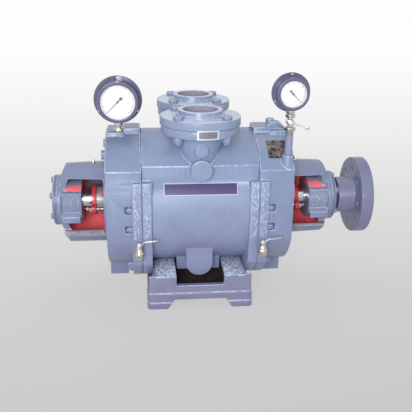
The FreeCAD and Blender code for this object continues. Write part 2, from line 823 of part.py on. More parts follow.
def bearing_balls():
    middle = bearing_start + bearing_width / 2
    solids = []
    for angle in around(ball_count):
        y, z = on_circle(ball_pitch_radius(), angle)
        solids.append(Part.makeSphere(ball_radius, Vector(middle, y, z)))
    return group(solids + [mirrored(solid) for solid in solids])


def bearing_cover(right):
    """Cover with a rim that holds the outer race; the right one has a cone round the shaft."""
    end = cover_start + cover_thick
    shape = bar(cover_start, end, housing_flange_radius)
    edge = [e for e in shape.Edges if e.Closed and abs(e.BoundBox.XMax - end) < 0.01]
    shape = shape.makeChamfer(2.5, edge)
    pieces = [ring(bearing_start + bearing_width, cover_start, cover_rim_radius, housing_shoulder_radius)]
    cuts = []
    if right:
        base = cover_screw_circle / 2 - cover_screw_across / 2 - 2
        pieces.append(Part.makeCone(base, base - cover_cone_length / 2, cover_cone_length,
                                    Vector(end, 0, shaft_height), Vector(1, 0, 0)))
        cuts.append(bar(cover_start, end + cover_cone_length, drive_seat_radius + 2 * seat_gap))
    for angle in around(cover_screw_count, 30.0):
        y, z = on_circle(cover_screw_circle / 2, angle)
        cuts.append(bar(cover_start, end, cover_screw_diameter / 2 + 0.5, y, z))
    return shape.fuse(pieces).cut(cuts)


def cover_screws():
    seat = cover_start + cover_thick
    solids = []
    for angle in around(cover_screw_count, 30.0):
        y, z = on_circle(cover_screw_circle / 2, angle)
        shank = bar(cover_start - cover_screw_depth, seat, cover_screw_diameter / 2, y, z)
        solids.append(shank.fuse(hexagon(cover_screw_across, 6.5, (seat, y, z), (1, 0, 0))))
    return group(solids + [mirrored(solid) for solid in solids])


def nipple_base():
    """Bottom of the nipple's seat in the top of the lantern casting."""
    share = nipple_reach / (bracket_length - bracket_slope)
    return shaft_height + bracket_radius - bracket_taper * share - nipple_seat_depth


def grease_nipples():
    """One on the top of each lantern casting, at the mouth of the drilling to the bearing."""
    x, base = head_face + nipple_reach, nipple_base()
    solid = post(base, base + nipple_height, nipple_radius, x, 0)
    tip = Part.makeSphere(nipple_radius - 1, Vector(x, 0, base + nipple_height))
    solid = solid.fuse([tip, hexagon(2.5 * nipple_radius, nipple_height / 2, (x, 0, base), (0, 0, 1))])
    return group([solid, mirrored(solid)])


def nipple_seat():
    """The room that a grease nipple takes in its bracket."""
    base = nipple_base()
    return post(base, base + nipple_height, 1.5 * nipple_radius, head_face + nipple_reach, 0)


def shaft():
    end = lock_nut_start + lock_nut_thick
    shape = bar(-impeller_half, impeller_half, shaft_radius)
    shape = shape.fuse([bar(-bearing_start, bearing_start, sleeve_seat_radius),
                        bar(-end - 4, end, bearing_seat_radius),
                        bar(0, shaft_drive_end, drive_seat_radius)])
    cuts = [impeller_key(0.0), drive_key(0.0)]
    return shape.cut(cuts).removeSplitter()


def impeller_key(clearance):
    half = impeller_key_length / 2 + clearance
    return block(-half, half, -key_width / 2 - clearance, key_width / 2 + clearance,
                 shaft_height + shaft_radius - key_height, shaft_height + shaft_radius + key_height - 1)


def drive_key(clearance):
    start = drive_hub_start + 6 - clearance
    return block(start, start + drive_key_length + 2 * clearance,
                 -drive_key_width / 2 - clearance, drive_key_width / 2 + clearance,
                 shaft_height + drive_seat_radius - drive_key_height,
                 shaft_height + drive_seat_radius + drive_key_height - 1)


def blade():
    """One vane, straight out of the hub and then leaning forward to its tip."""
    def polar(radius, degrees):
        turn = math.radians(degrees)
        return Vector(-impeller_half, radius * math.sin(turn), shaft_height + radius * math.cos(turn))

    def lag(radius):
        return math.degrees(blade_thick / radius)

    root = impeller_hub_radius - blade_root_depth
    middle = (root + impeller_radius) / 2
    leading = Part.Arc(polar(root, 0), polar(middle, blade_mid_lean), polar(impeller_radius, blade_tip_lean))
    trailing = Part.Arc(polar(root, -lag(root)), polar(middle, blade_mid_lean - lag(middle)),
                        polar(impeller_radius, blade_tip_lean - lag(impeller_radius)))
    edges = [leading.toShape(), trailing.toShape()]
    edges += lines([polar(root, 0), polar(root, -lag(root))])
    edges += lines([polar(impeller_radius, blade_tip_lean),
                    polar(impeller_radius, blade_tip_lean - lag(impeller_radius))])
    face = Part.Face(Part.Wire(Part.__sortEdges__(edges)))
    return face.extrude(Vector(2 * impeller_half, 0, 0))


def impeller():
    """Hub that swells to the middle, a dividing web and the ring of vanes."""
    swell = impeller_hub_radius + impeller_hub_swell
    hub = turned(lines([shaft_point(-impeller_half, shaft_radius + fit_gap),
                        shaft_point(-impeller_half, impeller_hub_radius),
                        shaft_point(0, swell),
                        shaft_point(impeller_half, impeller_hub_radius),
                        shaft_point(impeller_half, shaft_radius + fit_gap),
                        shaft_point(-impeller_half, shaft_radius + fit_gap)]),
                 Vector(0, 0, shaft_height), Vector(1, 0, 0))
    web = ring(-impeller_web_thick / 2, impeller_web_thick / 2, impeller_radius - impeller_web_inset, impeller_hub_radius)
    vanes = []
    for angle in around(blade_count):
        vane = blade()
        vane.rotate(Vector(0, 0, shaft_height), Vector(1, 0, 0), angle)
        vanes.append(vane)
    return hub.fuse([web] + vanes).cut(impeller_key(fit_gap)).removeSplitter()


def shaft_sleeve():
    return ring(impeller_half, sleeve_end, sleeve_radius, sleeve_seat_radius + fit_gap)


def shaft_lock_nuts():
    nut = ring(lock_nut_start, lock_nut_start + lock_nut_thick, lock_nut_radius, bearing_seat_radius + fit_gap)
    slots = []
    for angle in around(4):
        slot = block(lock_nut_start, lock_nut_start + lock_nut_thick, -3, 3,
                     shaft_height + lock_nut_radius - 4, shaft_height + lock_nut_radius + 1)
        slot.rotate(Vector(0, 0, shaft_height), Vector(1, 0, 0), angle)
        slots.append(slot)
    nut = nut.cut(slots)
    return group([nut, mirrored(nut)])


def drive_flange():
    """Coupling half, keyed on the shaft end."""
    end = drive_flange_start + drive_flange_thick
    shape = bar(drive_flange_start, end, drive_flange_radius)
    rims = [e for e in shape.Edges if e.Closed]
    shape = shape.makeFillet(3.0, rims)
    shape = shape.fuse(bar(drive_hub_start, end, drive_hub_radius))
    cuts = [bar(drive_hub_start, end, drive_seat_radius + fit_gap), drive_key(fit_gap),
            bar(end - 4, end, drive_hub_radius - 12)]
    for angle in around(drive_hole_count, 90.0):
        y, z = on_circle(drive_hole_circle / 2, angle)
        cuts.append(bar(drive_flange_start, end, drive_hole / 2, y, z))
    return shape.cut(cuts).removeSplitter()


def gauge(x, rise, back, flange_radius, case_radius, bezel_radius, depth, pointer_angle):
    """Case with back flange, bezel, dial, glass and pointer; the dial faces the front."""
    z = shaft_height + rise
    mouth = back - depth
    case_mouth = mouth + case_setback
    dial_back = mouth + dial_setback
    dial_radius = case_radius - gauge_wall
    case = spindle(case_mouth, back, case_radius, x, z)
    case = case.fuse(spindle(back - gauge_flange_thick, back, flange_radius, x, z))
    case = case.cut(spindle(case_mouth, back - gauge_flange_thick - 1, dial_radius, x, z))
    dial = spindle(dial_back - dial_thick, dial_back, dial_radius - fit_gap, x, z)
    pin_hole = spindle(dial_back - dial_thick, dial_back, 2.5, x, z)
    dial = dial.cut(pin_hole)
    bezel = spindle(mouth - bezel_lip, case_mouth + bezel_skirt, bezel_radius, x, z)
    bezel = bezel.makeFillet(3.0, [bezel.Edges[i] for i in range(len(bezel.Edges))
                                   if bezel.Edges[i].Closed
                                   and abs(bezel.Edges[i].BoundBox.YMin - mouth + bezel_lip) < 0.01])
    bezel = bezel.cut([spindle(mouth - bezel_lip, case_mouth, dial_radius - 3, x, z),
                       spindle(mouth, case_mouth, case_radius, x, z),
                       spindle(case_mouth, case_mouth + bezel_skirt, case_radius + fit_gap, x, z)])
    glass = spindle(mouth, mouth + glass_thick, case_radius - fit_gap, x, z)

    pointer_y = dial_back - dial_thick - 2.5
    length = dial_radius - 8
    tail = 0.3 * length
    blade_shape = Part.Face(Part.makePolygon([
        Vector(-tail, pointer_y, -1.6), Vector(length, pointer_y, -0.4), Vector(length, pointer_y, 0.4),
        Vector(-tail, pointer_y, 1.6), Vector(-tail, pointer_y, -1.6)])).extrude(Vector(0, 0.8, 0))
    weight = spindle(pointer_y, pointer_y + 0.8, 0.11 * length, -tail, 0)
    boss = spindle(pointer_y - 0.6, pointer_y + 2.0, 3.2, 0, 0)
    spindle_end = spindle(pointer_y + 2.0, dial_back + 3, 2.2, 0, 0)
    pointer = blade_shape.fuse([weight, boss, spindle_end])
    pointer.rotate(Vector(0, 0, 0), Vector(0, 1, 0), -pointer_angle)
    pointer.translate(Vector(x, 0, z))
    return {"case": case, "bezel": bezel, "dial": dial, "glass": glass, "pointer": pointer}


def large_gauge_stem():
    """Socket, union and nipple between the left head and the large gauge."""
    x, y = large_gauge_x, large_gauge_back - 20
    seat = shaft_height + top_land_rise
    centre = shaft_height + large_gauge_rise
    case_low = centre - large_gauge_case_radius
    shape = post(seat, case_low + 2, 7, x, y)
    shape = shape.fuse([hexagon(22.0, 11.0, (x, y, seat), (0, 0, 1)),
                        hexagon(22.0, 12.0, (x, y, case_low - gauge_union_drop), (0, 0, 1))])
    return shape.cut(spindle(y - 20, y + 20, large_gauge_case_radius, x, centre))


def riser_y():
    return small_gauge_back - 14


def riser_pipe():
    """Pipe from the head up to the cock."""
    x, y = small_gauge_x, riser_y()
    low = shaft_height + riser_boss_rise - riser_socket_depth
    top = shaft_height + cock_rise - cock_body_length / 2
    shape = post(low, top, riser_radius, x, y)
    return shape.fuse(hexagon(28.0, 9.0, (x, y, top - 9), (0, 0, 1)))


def gauge_cock_body():
    """Three part cock: lower union, plug barrel and the union under the gauge."""
    x, y = small_gauge_x, riser_y()
    low = shaft_height + cock_rise - cock_body_length / 2
    top = shaft_height + cock_rise + cock_body_length / 2
    centre = shaft_height + small_gauge_rise
    case_low = centre - small_gauge_case_radius
    shape = post(low, case_low + 2, 7.0, x, y)
    barrel = spindle(y - 15, y + 12, 10.0, x, shaft_height + cock_rise)
    shape = shape.fuse([barrel, hexagon(24.0, 8.0, (x, y, top), (0, 0, 1)),
                        hexagon(22.0, 9.0, (x, y, case_low - gauge_union_drop), (0, 0, 1))])
    return shape.cut([spindle(y - 16, y - 5, 4 + seat_gap, x, shaft_height + cock_rise),
                      spindle(y - 20, y + 20, small_gauge_case_radius, x, centre)])


def gauge_cock_lever():
    """Plug end with the flat lever that points to the right when shut."""
    x, y, z = small_gauge_x, riser_y(), shaft_height + cock_rise
    stem = spindle(y - 24, y - 5 - seat_gap, 4, x, z)
    boss = spindle(y - 23, y - 15 - seat_gap, 7, x, z)
    arm = block(x, x + cock_lever_length, y - 21, y - 18, z - 3, z + 3)
    knob = spindle(y - 21.5, y - 17.5, 4.5, x + cock_lever_length, z)
    lever = boss.fuse([stem, arm, knob])
    lever.rotate(Vector(x, y, z), Vector(0, 1, 0), 16)
    return lever


def drain_cock_centre(side):
    """Where the cock's body axis and the lever's axis cross."""
    return (side * drain_cock_x, -joint_flange_half_width - drain_cock_reach,
            shaft_height + drain_cock_rise)


def drain_cock(side):
    """Brass cock: nipple into the flange, hourglass bonnet and a turned down spout."""
    x, y, z = drain_cock_centre(side)
    nipple = spindle(y, -flange_depth_at(z), 7, x, z)
    body = Part.makeSphere(13, Vector(x, y, z))
    spout = Part.makeCylinder(8, drain_spout_length, Vector(x, y, z), Vector(0, -0.8, -0.6))
    lip = Part.makeCylinder(9.5, 4, Vector(x, y - 0.8 * drain_spout_length, z - 0.6 * drain_spout_length),
                            Vector(0, -0.8, -0.6))
    bonnet = Part.makeCone(11, 6.5, 12, Vector(x, y, z + 8))
    nut = hexagon(17.0, 6.0, (x, y, z + 17), (0, 0, 1))
    shape = nipple.fuse([body, spout, lip, bonnet, nut])
    end = Vector(x, y - 0.8 * (drain_spout_length + 5), z - 0.6 * (drain_spout_length + 5))
    bore = Part.makeCylinder(5, drain_spout_length, end, Vector(0, 0.8, 0.6))
    return shape.cut([bore, post(z + 12, z + 24, 3 + seat_gap, x, y)])


def flange_depth_at(z):
    """Half width of the joint flange at a height below the shaft."""
    drop = shaft_height - z
    return min(joint_flange_half_width, math.sqrt(joint_flange_radius ** 2 - drop ** 2))


def drain_lever(side):
    """Bent strip on the cock's stem, pointing to the right when shut."""
    x, y, z = drain_cock_centre(side)
    thick, half_width = drain_lever_thick, drain_lever_width / 2
    base = z + 23 + seat_gap
    stem = post(z + 12 + seat_gap, base + 6, 3, x, y)
    hub = post(base, base + thick, 8, x, y)
    nut = hexagon(10.0, 4.0, (x, y, base + thick), (0, 0, 1))
    rise = 9.0
    strip = Part.Face(Part.makePolygon([
        Vector(x, y - half_width, base), Vector(x + 6, y - half_width, base),
        Vector(x + 14, y - half_width, base + rise),
        Vector(x + drain_lever_length, y - half_width, base + rise + 4),
        Vector(x + drain_lever_length, y - half_width, base + rise + 4 + thick),
        Vector(x + 13, y - half_width, base + rise + thick),
        Vector(x + 5, y - half_width, base + thick), Vector(x, y - half_width, base + thick),
        Vector(x, y - half_width, base)])).extrude(Vector(0, 2 * half_width, 0))
    return stem.fuse([hub, nut, strip])


def name_plate():
    """Bare plate bent to the barrel."""
    half = name_plate_length / 2
    sheet = ring(-half, half, barrel_radius + seat_gap + plate_thick, barrel_radius + seat_gap)
    return sheet.common(block(-half, half, -barrel_radius - 2, 0,
                              shaft_height + name_plate_low, shaft_height + name_plate_high))


def head_plate():
    """Bare plate bent to the front slope of the right hood."""
    x0, x1 = head_plate_start, head_plate_start + head_plate_length
    sheet = ring(x0, x1, hood_radius + seat_gap + plate_thick, hood_radius + seat_gap)
    low = hood_radius * math.sin(math.radians(head_plate_low_angle))
    high = hood_radius * math.sin(math.radians(head_plate_high_angle))
    sheet = sheet.common(block(x0, x1, -hood_radius - 2, 0, shaft_height + low, shaft_height + high))
    return sheet.cut(post(shaft_height, shaft_height + hood_radius + 10, riser_boss_radius + 1,
                          small_gauge_x, riser_y()))


def tag_plate():
    """Small metal tag on the front rim of the lower port flange."""
    base = port_face - port_flange_thick + tag_low
    inner_radius = companion_radius + seat_gap
    outer = post(base, base + tag_height, inner_radius + plate_thick + 1, 0, -port_y)
    sheet = outer.cut(post(base, base + tag_height, inner_radius, 0, -port_y))
    return sheet.common(block(tag_start, tag_end, -port_y - companion_radius - 5, -port_y,
                              base, base + tag_height))


def head_plugs():
    """Hexagon plugs in the outer faces of the heads."""
    solids = []
    for y in (-plug_spacing / 2, plug_spacing / 2):
        plug = hexagon(plug_across, 12.0, (head_face, y, shaft_height + plug_rise), (1, 0, 0))
        solids.append(plug)
    return group(solids + [mirrored(solid) for solid in solids])


def export(node, shape):
    shape.exportStep("parts/" + node + ".step")
    print(node, "solids", len(shape.Solids), "valid", shape.isValid(), "volume", round(shape.Volume))


os.makedirs("parts", exist_ok=True)
large = gauge(large_gauge_x, large_gauge_rise, large_gauge_back, large_gauge_flange_radius,
              large_gauge_case_radius, large_gauge_bezel_radius, large_gauge_depth,
              large_gauge_pointer_angle)
small = gauge(small_gauge_x, small_gauge_rise, small_gauge_back, small_gauge_flange_radius,
              small_gauge_case_radius, small_gauge_bezel_radius, small_gauge_depth,
              small_gauge_pointer_angle)

export("body_casing", body_casing())
export("pedestal", pedestal())
export("head_left", mirrored(head(False)))
export("head_right", head(True))
export("head_gaskets", head_gaskets())
export("port_plate_left", mirrored(port_plate()))
export("port_plate_right", port_plate())
export("joint_studs_left", mirrored(joint_studs()))
export("joint_studs_right", joint_studs())
export("front_port_flange", companion_flange(front))
export("rear_port_flange", companion_flange(rear))
export("port_gaskets", port_gaskets())
export("front_port_bolts", port_bolts(front))
export("rear_port_bolts", port_bolts(rear))
export("bracket_left", mirrored(bracket(False)))
export("bracket_right", bracket(True))
export("bracket_bolts", bracket_bolts())
export("packing_rings", packing_rings())
export("lantern_rings", lantern_rings())
export("gland_left", mirrored(gland()))
export("gland_right", gland())
export("gland_studs", gland_studs())
export("bearing_outer_races", bearing_outer_races())
export("bearing_balls", bearing_balls())
export("bearing_cover_left", mirrored(bearing_cover(False)))
export("bearing_cover_right", bearing_cover(True))
export("cover_screws", cover_screws())
export("grease_nipples", grease_nipples())
export("head_plugs", head_plugs())
for name, pieces in (("large_gauge", large), ("small_gauge", small)):
    for piece in ("case", "bezel", "dial", "glass", "pointer"):
        export(name + "_" + piece, pieces[piece])
export("large_gauge_stem", large_gauge_stem())
export("riser_pipe", riser_pipe())
export("gauge_cock_body", gauge_cock_body())
export("gauge_cock_lever", gauge_cock_lever())
export("drain_cock_left", drain_cock(-1))
export("drain_cock_right", drain_cock(1))
export("drain_lever_left", drain_lever(-1))
export("drain_lever_right", drain_lever(1))
export("name_plate", name_plate())
export("head_plate", head_plate())
export("tag_plate", tag_plate())
export("shaft", shaft())
export("impeller", impeller())
export("impeller_key", impeller_key(0.0))
export("sleeve_left", mirrored(shaft_sleeve()))
export("sleeve_right", shaft_sleeve())
export("bearing_inner_races", bearing_inner_races())
export("shaft_lock_nuts", shaft_lock_nuts())
export("drive_flange", drive_flange())
export("drive_key", drive_key(0.0))
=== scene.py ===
import json
import math

import bmesh
import bpy
from mathutils import Matrix, Vector
from mathutils.bvhtree import BVHTree

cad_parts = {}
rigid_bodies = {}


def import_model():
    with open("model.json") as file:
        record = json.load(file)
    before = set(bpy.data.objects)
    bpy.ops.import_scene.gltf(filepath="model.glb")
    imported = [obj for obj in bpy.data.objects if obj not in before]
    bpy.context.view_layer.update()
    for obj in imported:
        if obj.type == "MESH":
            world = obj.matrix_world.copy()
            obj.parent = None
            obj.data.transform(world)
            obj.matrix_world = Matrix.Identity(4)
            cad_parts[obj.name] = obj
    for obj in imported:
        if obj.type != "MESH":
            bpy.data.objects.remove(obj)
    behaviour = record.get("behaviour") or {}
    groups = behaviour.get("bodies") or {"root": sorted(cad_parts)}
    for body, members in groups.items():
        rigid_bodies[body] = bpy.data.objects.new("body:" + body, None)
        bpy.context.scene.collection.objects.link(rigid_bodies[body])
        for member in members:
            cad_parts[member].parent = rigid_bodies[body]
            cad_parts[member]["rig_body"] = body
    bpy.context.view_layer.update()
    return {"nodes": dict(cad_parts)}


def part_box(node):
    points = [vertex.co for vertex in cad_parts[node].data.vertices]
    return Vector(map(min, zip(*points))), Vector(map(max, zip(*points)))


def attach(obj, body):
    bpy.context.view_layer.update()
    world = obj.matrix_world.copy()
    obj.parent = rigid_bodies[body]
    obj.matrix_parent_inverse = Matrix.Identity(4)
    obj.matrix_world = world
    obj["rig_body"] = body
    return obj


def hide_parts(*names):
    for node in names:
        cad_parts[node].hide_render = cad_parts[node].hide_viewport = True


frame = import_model()
nodes = frame["nodes"]

# Camera: stands in front of the pump and a little to the left, and looks down on it by twenty degrees,
# which is where the photograph was taken from.
bpy.ops.object.select_all(action="DESELECT")
camera_place = (-0.1613, -1.7492, 0.8922)
camera_yaw = math.radians(-6.3)
camera_pitch = math.radians(20.3)
camera_roll = math.radians(1.0)
bpy.ops.object.camera_add(location=camera_place)
camera = bpy.context.object
camera.name = "view"
camera.data.lens = 54.93
camera.data.sensor_width = 36.0
camera.data.shift_y = -0.0029
camera.data.clip_start = 0.05
ahead = Vector((-math.sin(camera_yaw) * math.cos(camera_pitch),
                math.cos(camera_yaw) * math.cos(camera_pitch), -math.sin(camera_pitch)))
level = Vector((math.cos(camera_yaw), math.sin(camera_yaw), 0.0))
upward = level.cross(ahead)
right_way = math.cos(camera_roll) * level + math.sin(camera_roll) * upward
up_way = -math.sin(camera_roll) * level + math.cos(camera_roll) * upward
camera.matrix_world = Matrix((
    (right_way.x, up_way.x, -ahead.x, camera_place[0]),
    (right_way.y, up_way.y, -ahead.y, camera_place[1]),
    (right_way.z, up_way.z, -ahead.z, camera_place[2]),
    (0.0, 0.0, 0.0, 1.0)))
bpy.context.scene.camera = camera


def linear(code):
    """Linear colour from a hex colour as the eye sees it."""
    parts = [int(code[i:i + 2], 16) / 255 for i in (1, 3, 5)]
    return [p / 12.92 if p <= 0.04045 else ((p + 0.055) / 1.055) ** 2.4 for p in parts] + [1.0]


def add(tree, kind, settings=None, links=None):
    """Adds one node with its settings and its links."""
    node = tree.nodes.new(kind)
    for key, value in (settings or {}).items():
        if isinstance(key, str) and hasattr(node, key):
            setattr(node, key, value)
        else:
            node.inputs[key].default_value = value
    for key, source in (links or {}).items():
        tree.links.new(source, node.inputs[key])
    return node


def finish_named(name):
    """A new node material, with its tree, its main shader and the place in the part's frame."""
    finish = bpy.data.materials.new(name)
    finish.use_nodes = True
    tree = finish.node_tree
    place = add(tree, "ShaderNodeTexCoord").outputs["Object"]
    return finish, tree, tree.nodes["Principled BSDF"], place


def cast_enamel(name, lit="#889bb8", low="#807d9e", lump=0.004, relief=0.25, painted_glint=0.0, zone=None,
                painted_glint_colour="#c6d3e4", cover=0.50, grain=0.0045, front_only=False):
    """Semi gloss enamel over a sand cast skin: broad mottle, brush marks, low lumps and a fine grain. Painted
    shade turns it darker and more violet low down, and pale painted glints sit on the rough land.
    """
    finish, tree, shader, place = finish_named(name)
    mottle = add(tree, "ShaderNodeTexNoise", {"Scale": 1 / 0.08, "Detail": 3.0}, {"Vector": place})
    apart = add(tree, "ShaderNodeSeparateXYZ", None, {0: place})
    # Painted shade: the lower a surface stands, the further its tone leans to the darker, more violet low
    # colour.
    painted_shade_low_down = add(tree, "ShaderNodeMapRange", {"From Min": 0.05, "From Max": 0.36, "To Min": -0.3,
                                                 "To Max": 0.4}, {"Value": apart.outputs["Z"]})
    mottle_and_painted_shade = add(tree, "ShaderNodeMath", {"operation": "ADD", "use_clamp": True},
                    {0: mottle.outputs["Fac"], 1: painted_shade_low_down.outputs["Result"]})
    tone = add(tree, "ShaderNodeMix", {"data_type": "RGBA", 6: linear(low), 7: linear(lit)},
               {0: mottle_and_painted_shade.outputs[0]})
    drawn_out = add(tree, "ShaderNodeMapping", {"Scale": (1 / 0.0035, 1 / 0.0035, 1 / 0.045)},
                    {"Vector": place})
    strokes = add(tree, "ShaderNodeTexNoise", {"Scale": 1.0, "Detail": 3.0, "Roughness": 0.55},
                  {"Vector": drawn_out.outputs[0]})
    faint = add(tree, "ShaderNodeMapRange", {"From Min": 0.35, "From Max": 0.70, "To Max": 0.30},
                {"Value": strokes.outputs["Fac"]})
    brushed = add(tree, "ShaderNodeMix", {"data_type": "RGBA", 7: linear("#737898")},
                  {0: faint.outputs["Result"], 6: tone.outputs[2]})
    lumps = add(tree, "ShaderNodeTexNoise", {"Scale": 1 / lump, "Detail": 4.0, "Roughness": 0.6},
                {"Vector": place})
    sand = add(tree, "ShaderNodeTexVoronoi", {"Scale": 1 / 0.0065, "feature": "SMOOTH_F1"},
               {"Vector": place})
    height = add(tree, "ShaderNodeMath", {"operation": "MULTIPLY_ADD", 1: 0.5},
                 {0: sand.outputs["Distance"], 2: lumps.outputs["Fac"]})
    both = add(tree, "ShaderNodeMath", {"operation": "MULTIPLY_ADD", 1: 0.35},
               {0: strokes.outputs["Fac"], 2: height.outputs[0]})
    bump = add(tree, "ShaderNodeBump", {"Strength": relief, "Distance": 0.0008}, {"Height": both.outputs[0]})
    gloss = add(tree, "ShaderNodeMapRange", {"To Min": 0.28, "To Max": 0.44},
                {"Value": mottle.outputs["Fac"]})
    colour = brushed.outputs[2]
    if zone:
        # Rough land: the lumps are as tall as grit there, and pale painted highlights sit on their tops as
        # glints.
        fade = 0.004
        share = add(tree, "ShaderNodeValue")
        share.outputs[0].default_value = 1.0
        for axis, (inner, outer) in zone.items():
            turned = {"operation": "ABSOLUTE"}
            if front_only and axis == "Y":
                turned = {"operation": "MULTIPLY", 1: -1.0}
            reach = add(tree, "ShaderNodeMath", turned, {0: apart.outputs[axis]})
            for start, end in ((inner, inner + fade), (outer, outer - fade)):
                held = add(tree, "ShaderNodeMapRange", {"From Min": start, "From Max": end},
                           {"Value": reach.outputs[0]})
                share = add(tree, "ShaderNodeMath", {"operation": "MULTIPLY"},
                            {0: share.outputs[0], 1: held.outputs["Result"]})
        stretched = add(tree, "ShaderNodeMapping", {"Scale": (1 / grain, 1 / grain, 1 / 0.010)},
                        {"Vector": place})
        grit = add(tree, "ShaderNodeTexNoise", {"Scale": 1.0, "Detail": 5.0, "Roughness": 0.7},
                   {"Vector": stretched.outputs[0]})
        tops = add(tree, "ShaderNodeMapRange", {"From Min": cover, "From Max": cover + 0.14},
                   {"Value": grit.outputs["Fac"]})
        painted_glint_tops = add(tree, "ShaderNodeMath", {"operation": "MULTIPLY"},
                       {0: tops.outputs["Result"], 1: share.outputs[0]})
        amount = add(tree, "ShaderNodeMath", {"operation": "MULTIPLY", 1: painted_glint}, {0: painted_glint_tops.outputs[0]})
        land = add(tree, "ShaderNodeMix", {"data_type": "RGBA", 7: linear(painted_glint_colour)},
                   {0: amount.outputs[0], 6: colour})
        colour = land.outputs[2]
        stronger = add(tree, "ShaderNodeMath", {"operation": "MULTIPLY_ADD", 1: 0.7, 2: relief},
                       {0: share.outputs[0]})
        rough_height = add(tree, "ShaderNodeMath", {"operation": "MULTIPLY_ADD"},
                           {0: grit.outputs["Fac"], 1: share.outputs[0], 2: both.outputs[0]})
        tree.links.new(stronger.outputs[0], bump.inputs["Strength"])
        tree.links.new(rough_height.outputs[0], bump.inputs["Height"])
    tree.links.new(colour, shader.inputs["Base Color"])
    tree.links.new(gloss.outputs["Result"], shader.inputs["Roughness"])
    tree.links.new(bump.outputs["Normal"], shader.inputs["Normal"])
    shader.inputs["IOR"].default_value = 1.5
    return finish


def softened(node, name, finish, width, segments=2, edge=None, merge=0.00001):
    """A copy of the node with its sharp edges rounded as a casting's or a painted edge is."""
    mesh = nodes[node].data.copy()
    piece = bpy.data.objects.new(name, mesh)
    bpy.context.scene.collection.objects.link(piece)
    bpy.ops.object.select_all(action="DESELECT")
    piece.select_set(True)
    bpy.context.view_layer.objects.active = piece
    bpy.ops.object.mode_set(mode="EDIT")
    bpy.ops.mesh.select_all(action="SELECT")
    bpy.ops.mesh.remove_doubles(threshold=merge)
    bpy.ops.mesh.dissolve_limited(angle_limit=math.radians(0.6))
    bpy.ops.object.mode_set(mode="OBJECT")
    skin = BVHTree.FromPolygons([corner.co.copy() for corner in mesh.vertices],
                                [tuple(face.vertices) for face in mesh.polygons])
    mesh.materials.clear()
    mesh.materials.append(finish)
    bevel = piece.modifiers.new("edges", "BEVEL")
    bevel.width = width
    bevel.segments = segments
    bevel.limit_method = "ANGLE"
    bevel.angle_limit = math.radians(32)
    bevel.use_clamp_overlap = False
    bevel.miter_outer = "MITER_ARC"
    if edge:
        mesh.materials.append(edge)
        bevel.material = 1
    bpy.ops.object.modifier_apply(modifier=bevel.name)
    # Where narrow faces meet, the rounding throws corners out, and they go back to the casting's skin.
    for corner in mesh.vertices:
        near, _, _, gap = skin.find_nearest(corner.co)
        if gap > 0.6 * width:
            corner.co = near
    bpy.ops.object.shade_smooth_by_angle(angle=math.radians(28))
    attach(piece, nodes[node]["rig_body"])
    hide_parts(node)


# On the joint pads the casing's enamel carries pale painted glints.
casing_enamel = cast_enamel("enamel_on_sand_cast_iron", painted_glint=0.75,
                            zone={"X": (0.131, 0.165), "Y": (0.150, 0.190), "Z": (0.205, 0.372)})

# On the rounded edges the enamel is thin and rubbed in patches. Where the edges face up, those patches are
# drawn pale as a painted highlight, and edges that face sideways or down get a darker painted shade.
edge_enamel, tree, shader, place = finish_named("enamel_rubbed_thin_with_painted_highlight_on_edges")
rubs = add(tree, "ShaderNodeTexNoise", {"Scale": 1 / 0.012, "Detail": 4.0, "Roughness": 0.65},
           {"Vector": place})
worn = add(tree, "ShaderNodeMapRange", {"From Min": 0.40, "From Max": 0.60}, {"Value": rubs.outputs["Fac"]})
leans = add(tree, "ShaderNodeSeparateXYZ", None, {0: add(tree, "ShaderNodeNewGeometry").outputs["Normal"]})
painted_light_from_above = add(tree, "ShaderNodeMapRange", {"From Min": 0.10, "From Max": 0.60}, {"Value": leans.outputs["Z"]})
painted_highlight_on_rubs = add(tree, "ShaderNodeMath", {"operation": "MULTIPLY"},
             {0: worn.outputs["Result"], 1: painted_light_from_above.outputs["Result"]})
shade_side = add(tree, "ShaderNodeMix", {"data_type": "RGBA", 6: linear("#838cab"), 7: linear("#93a2c0")},
                 {0: painted_light_from_above.outputs["Result"]})
tone = add(tree, "ShaderNodeMix", {"data_type": "RGBA", 7: linear("#c9d5e8")},
           {0: painted_highlight_on_rubs.outputs[0], 6: shade_side.outputs[2]})
tree.links.new(tone.outputs[2], shader.inputs["Base Color"])
shader.inputs["Roughness"].default_value = 0.3
shader.inputs["IOR"].default_value = 1.5
port_place = 0.112


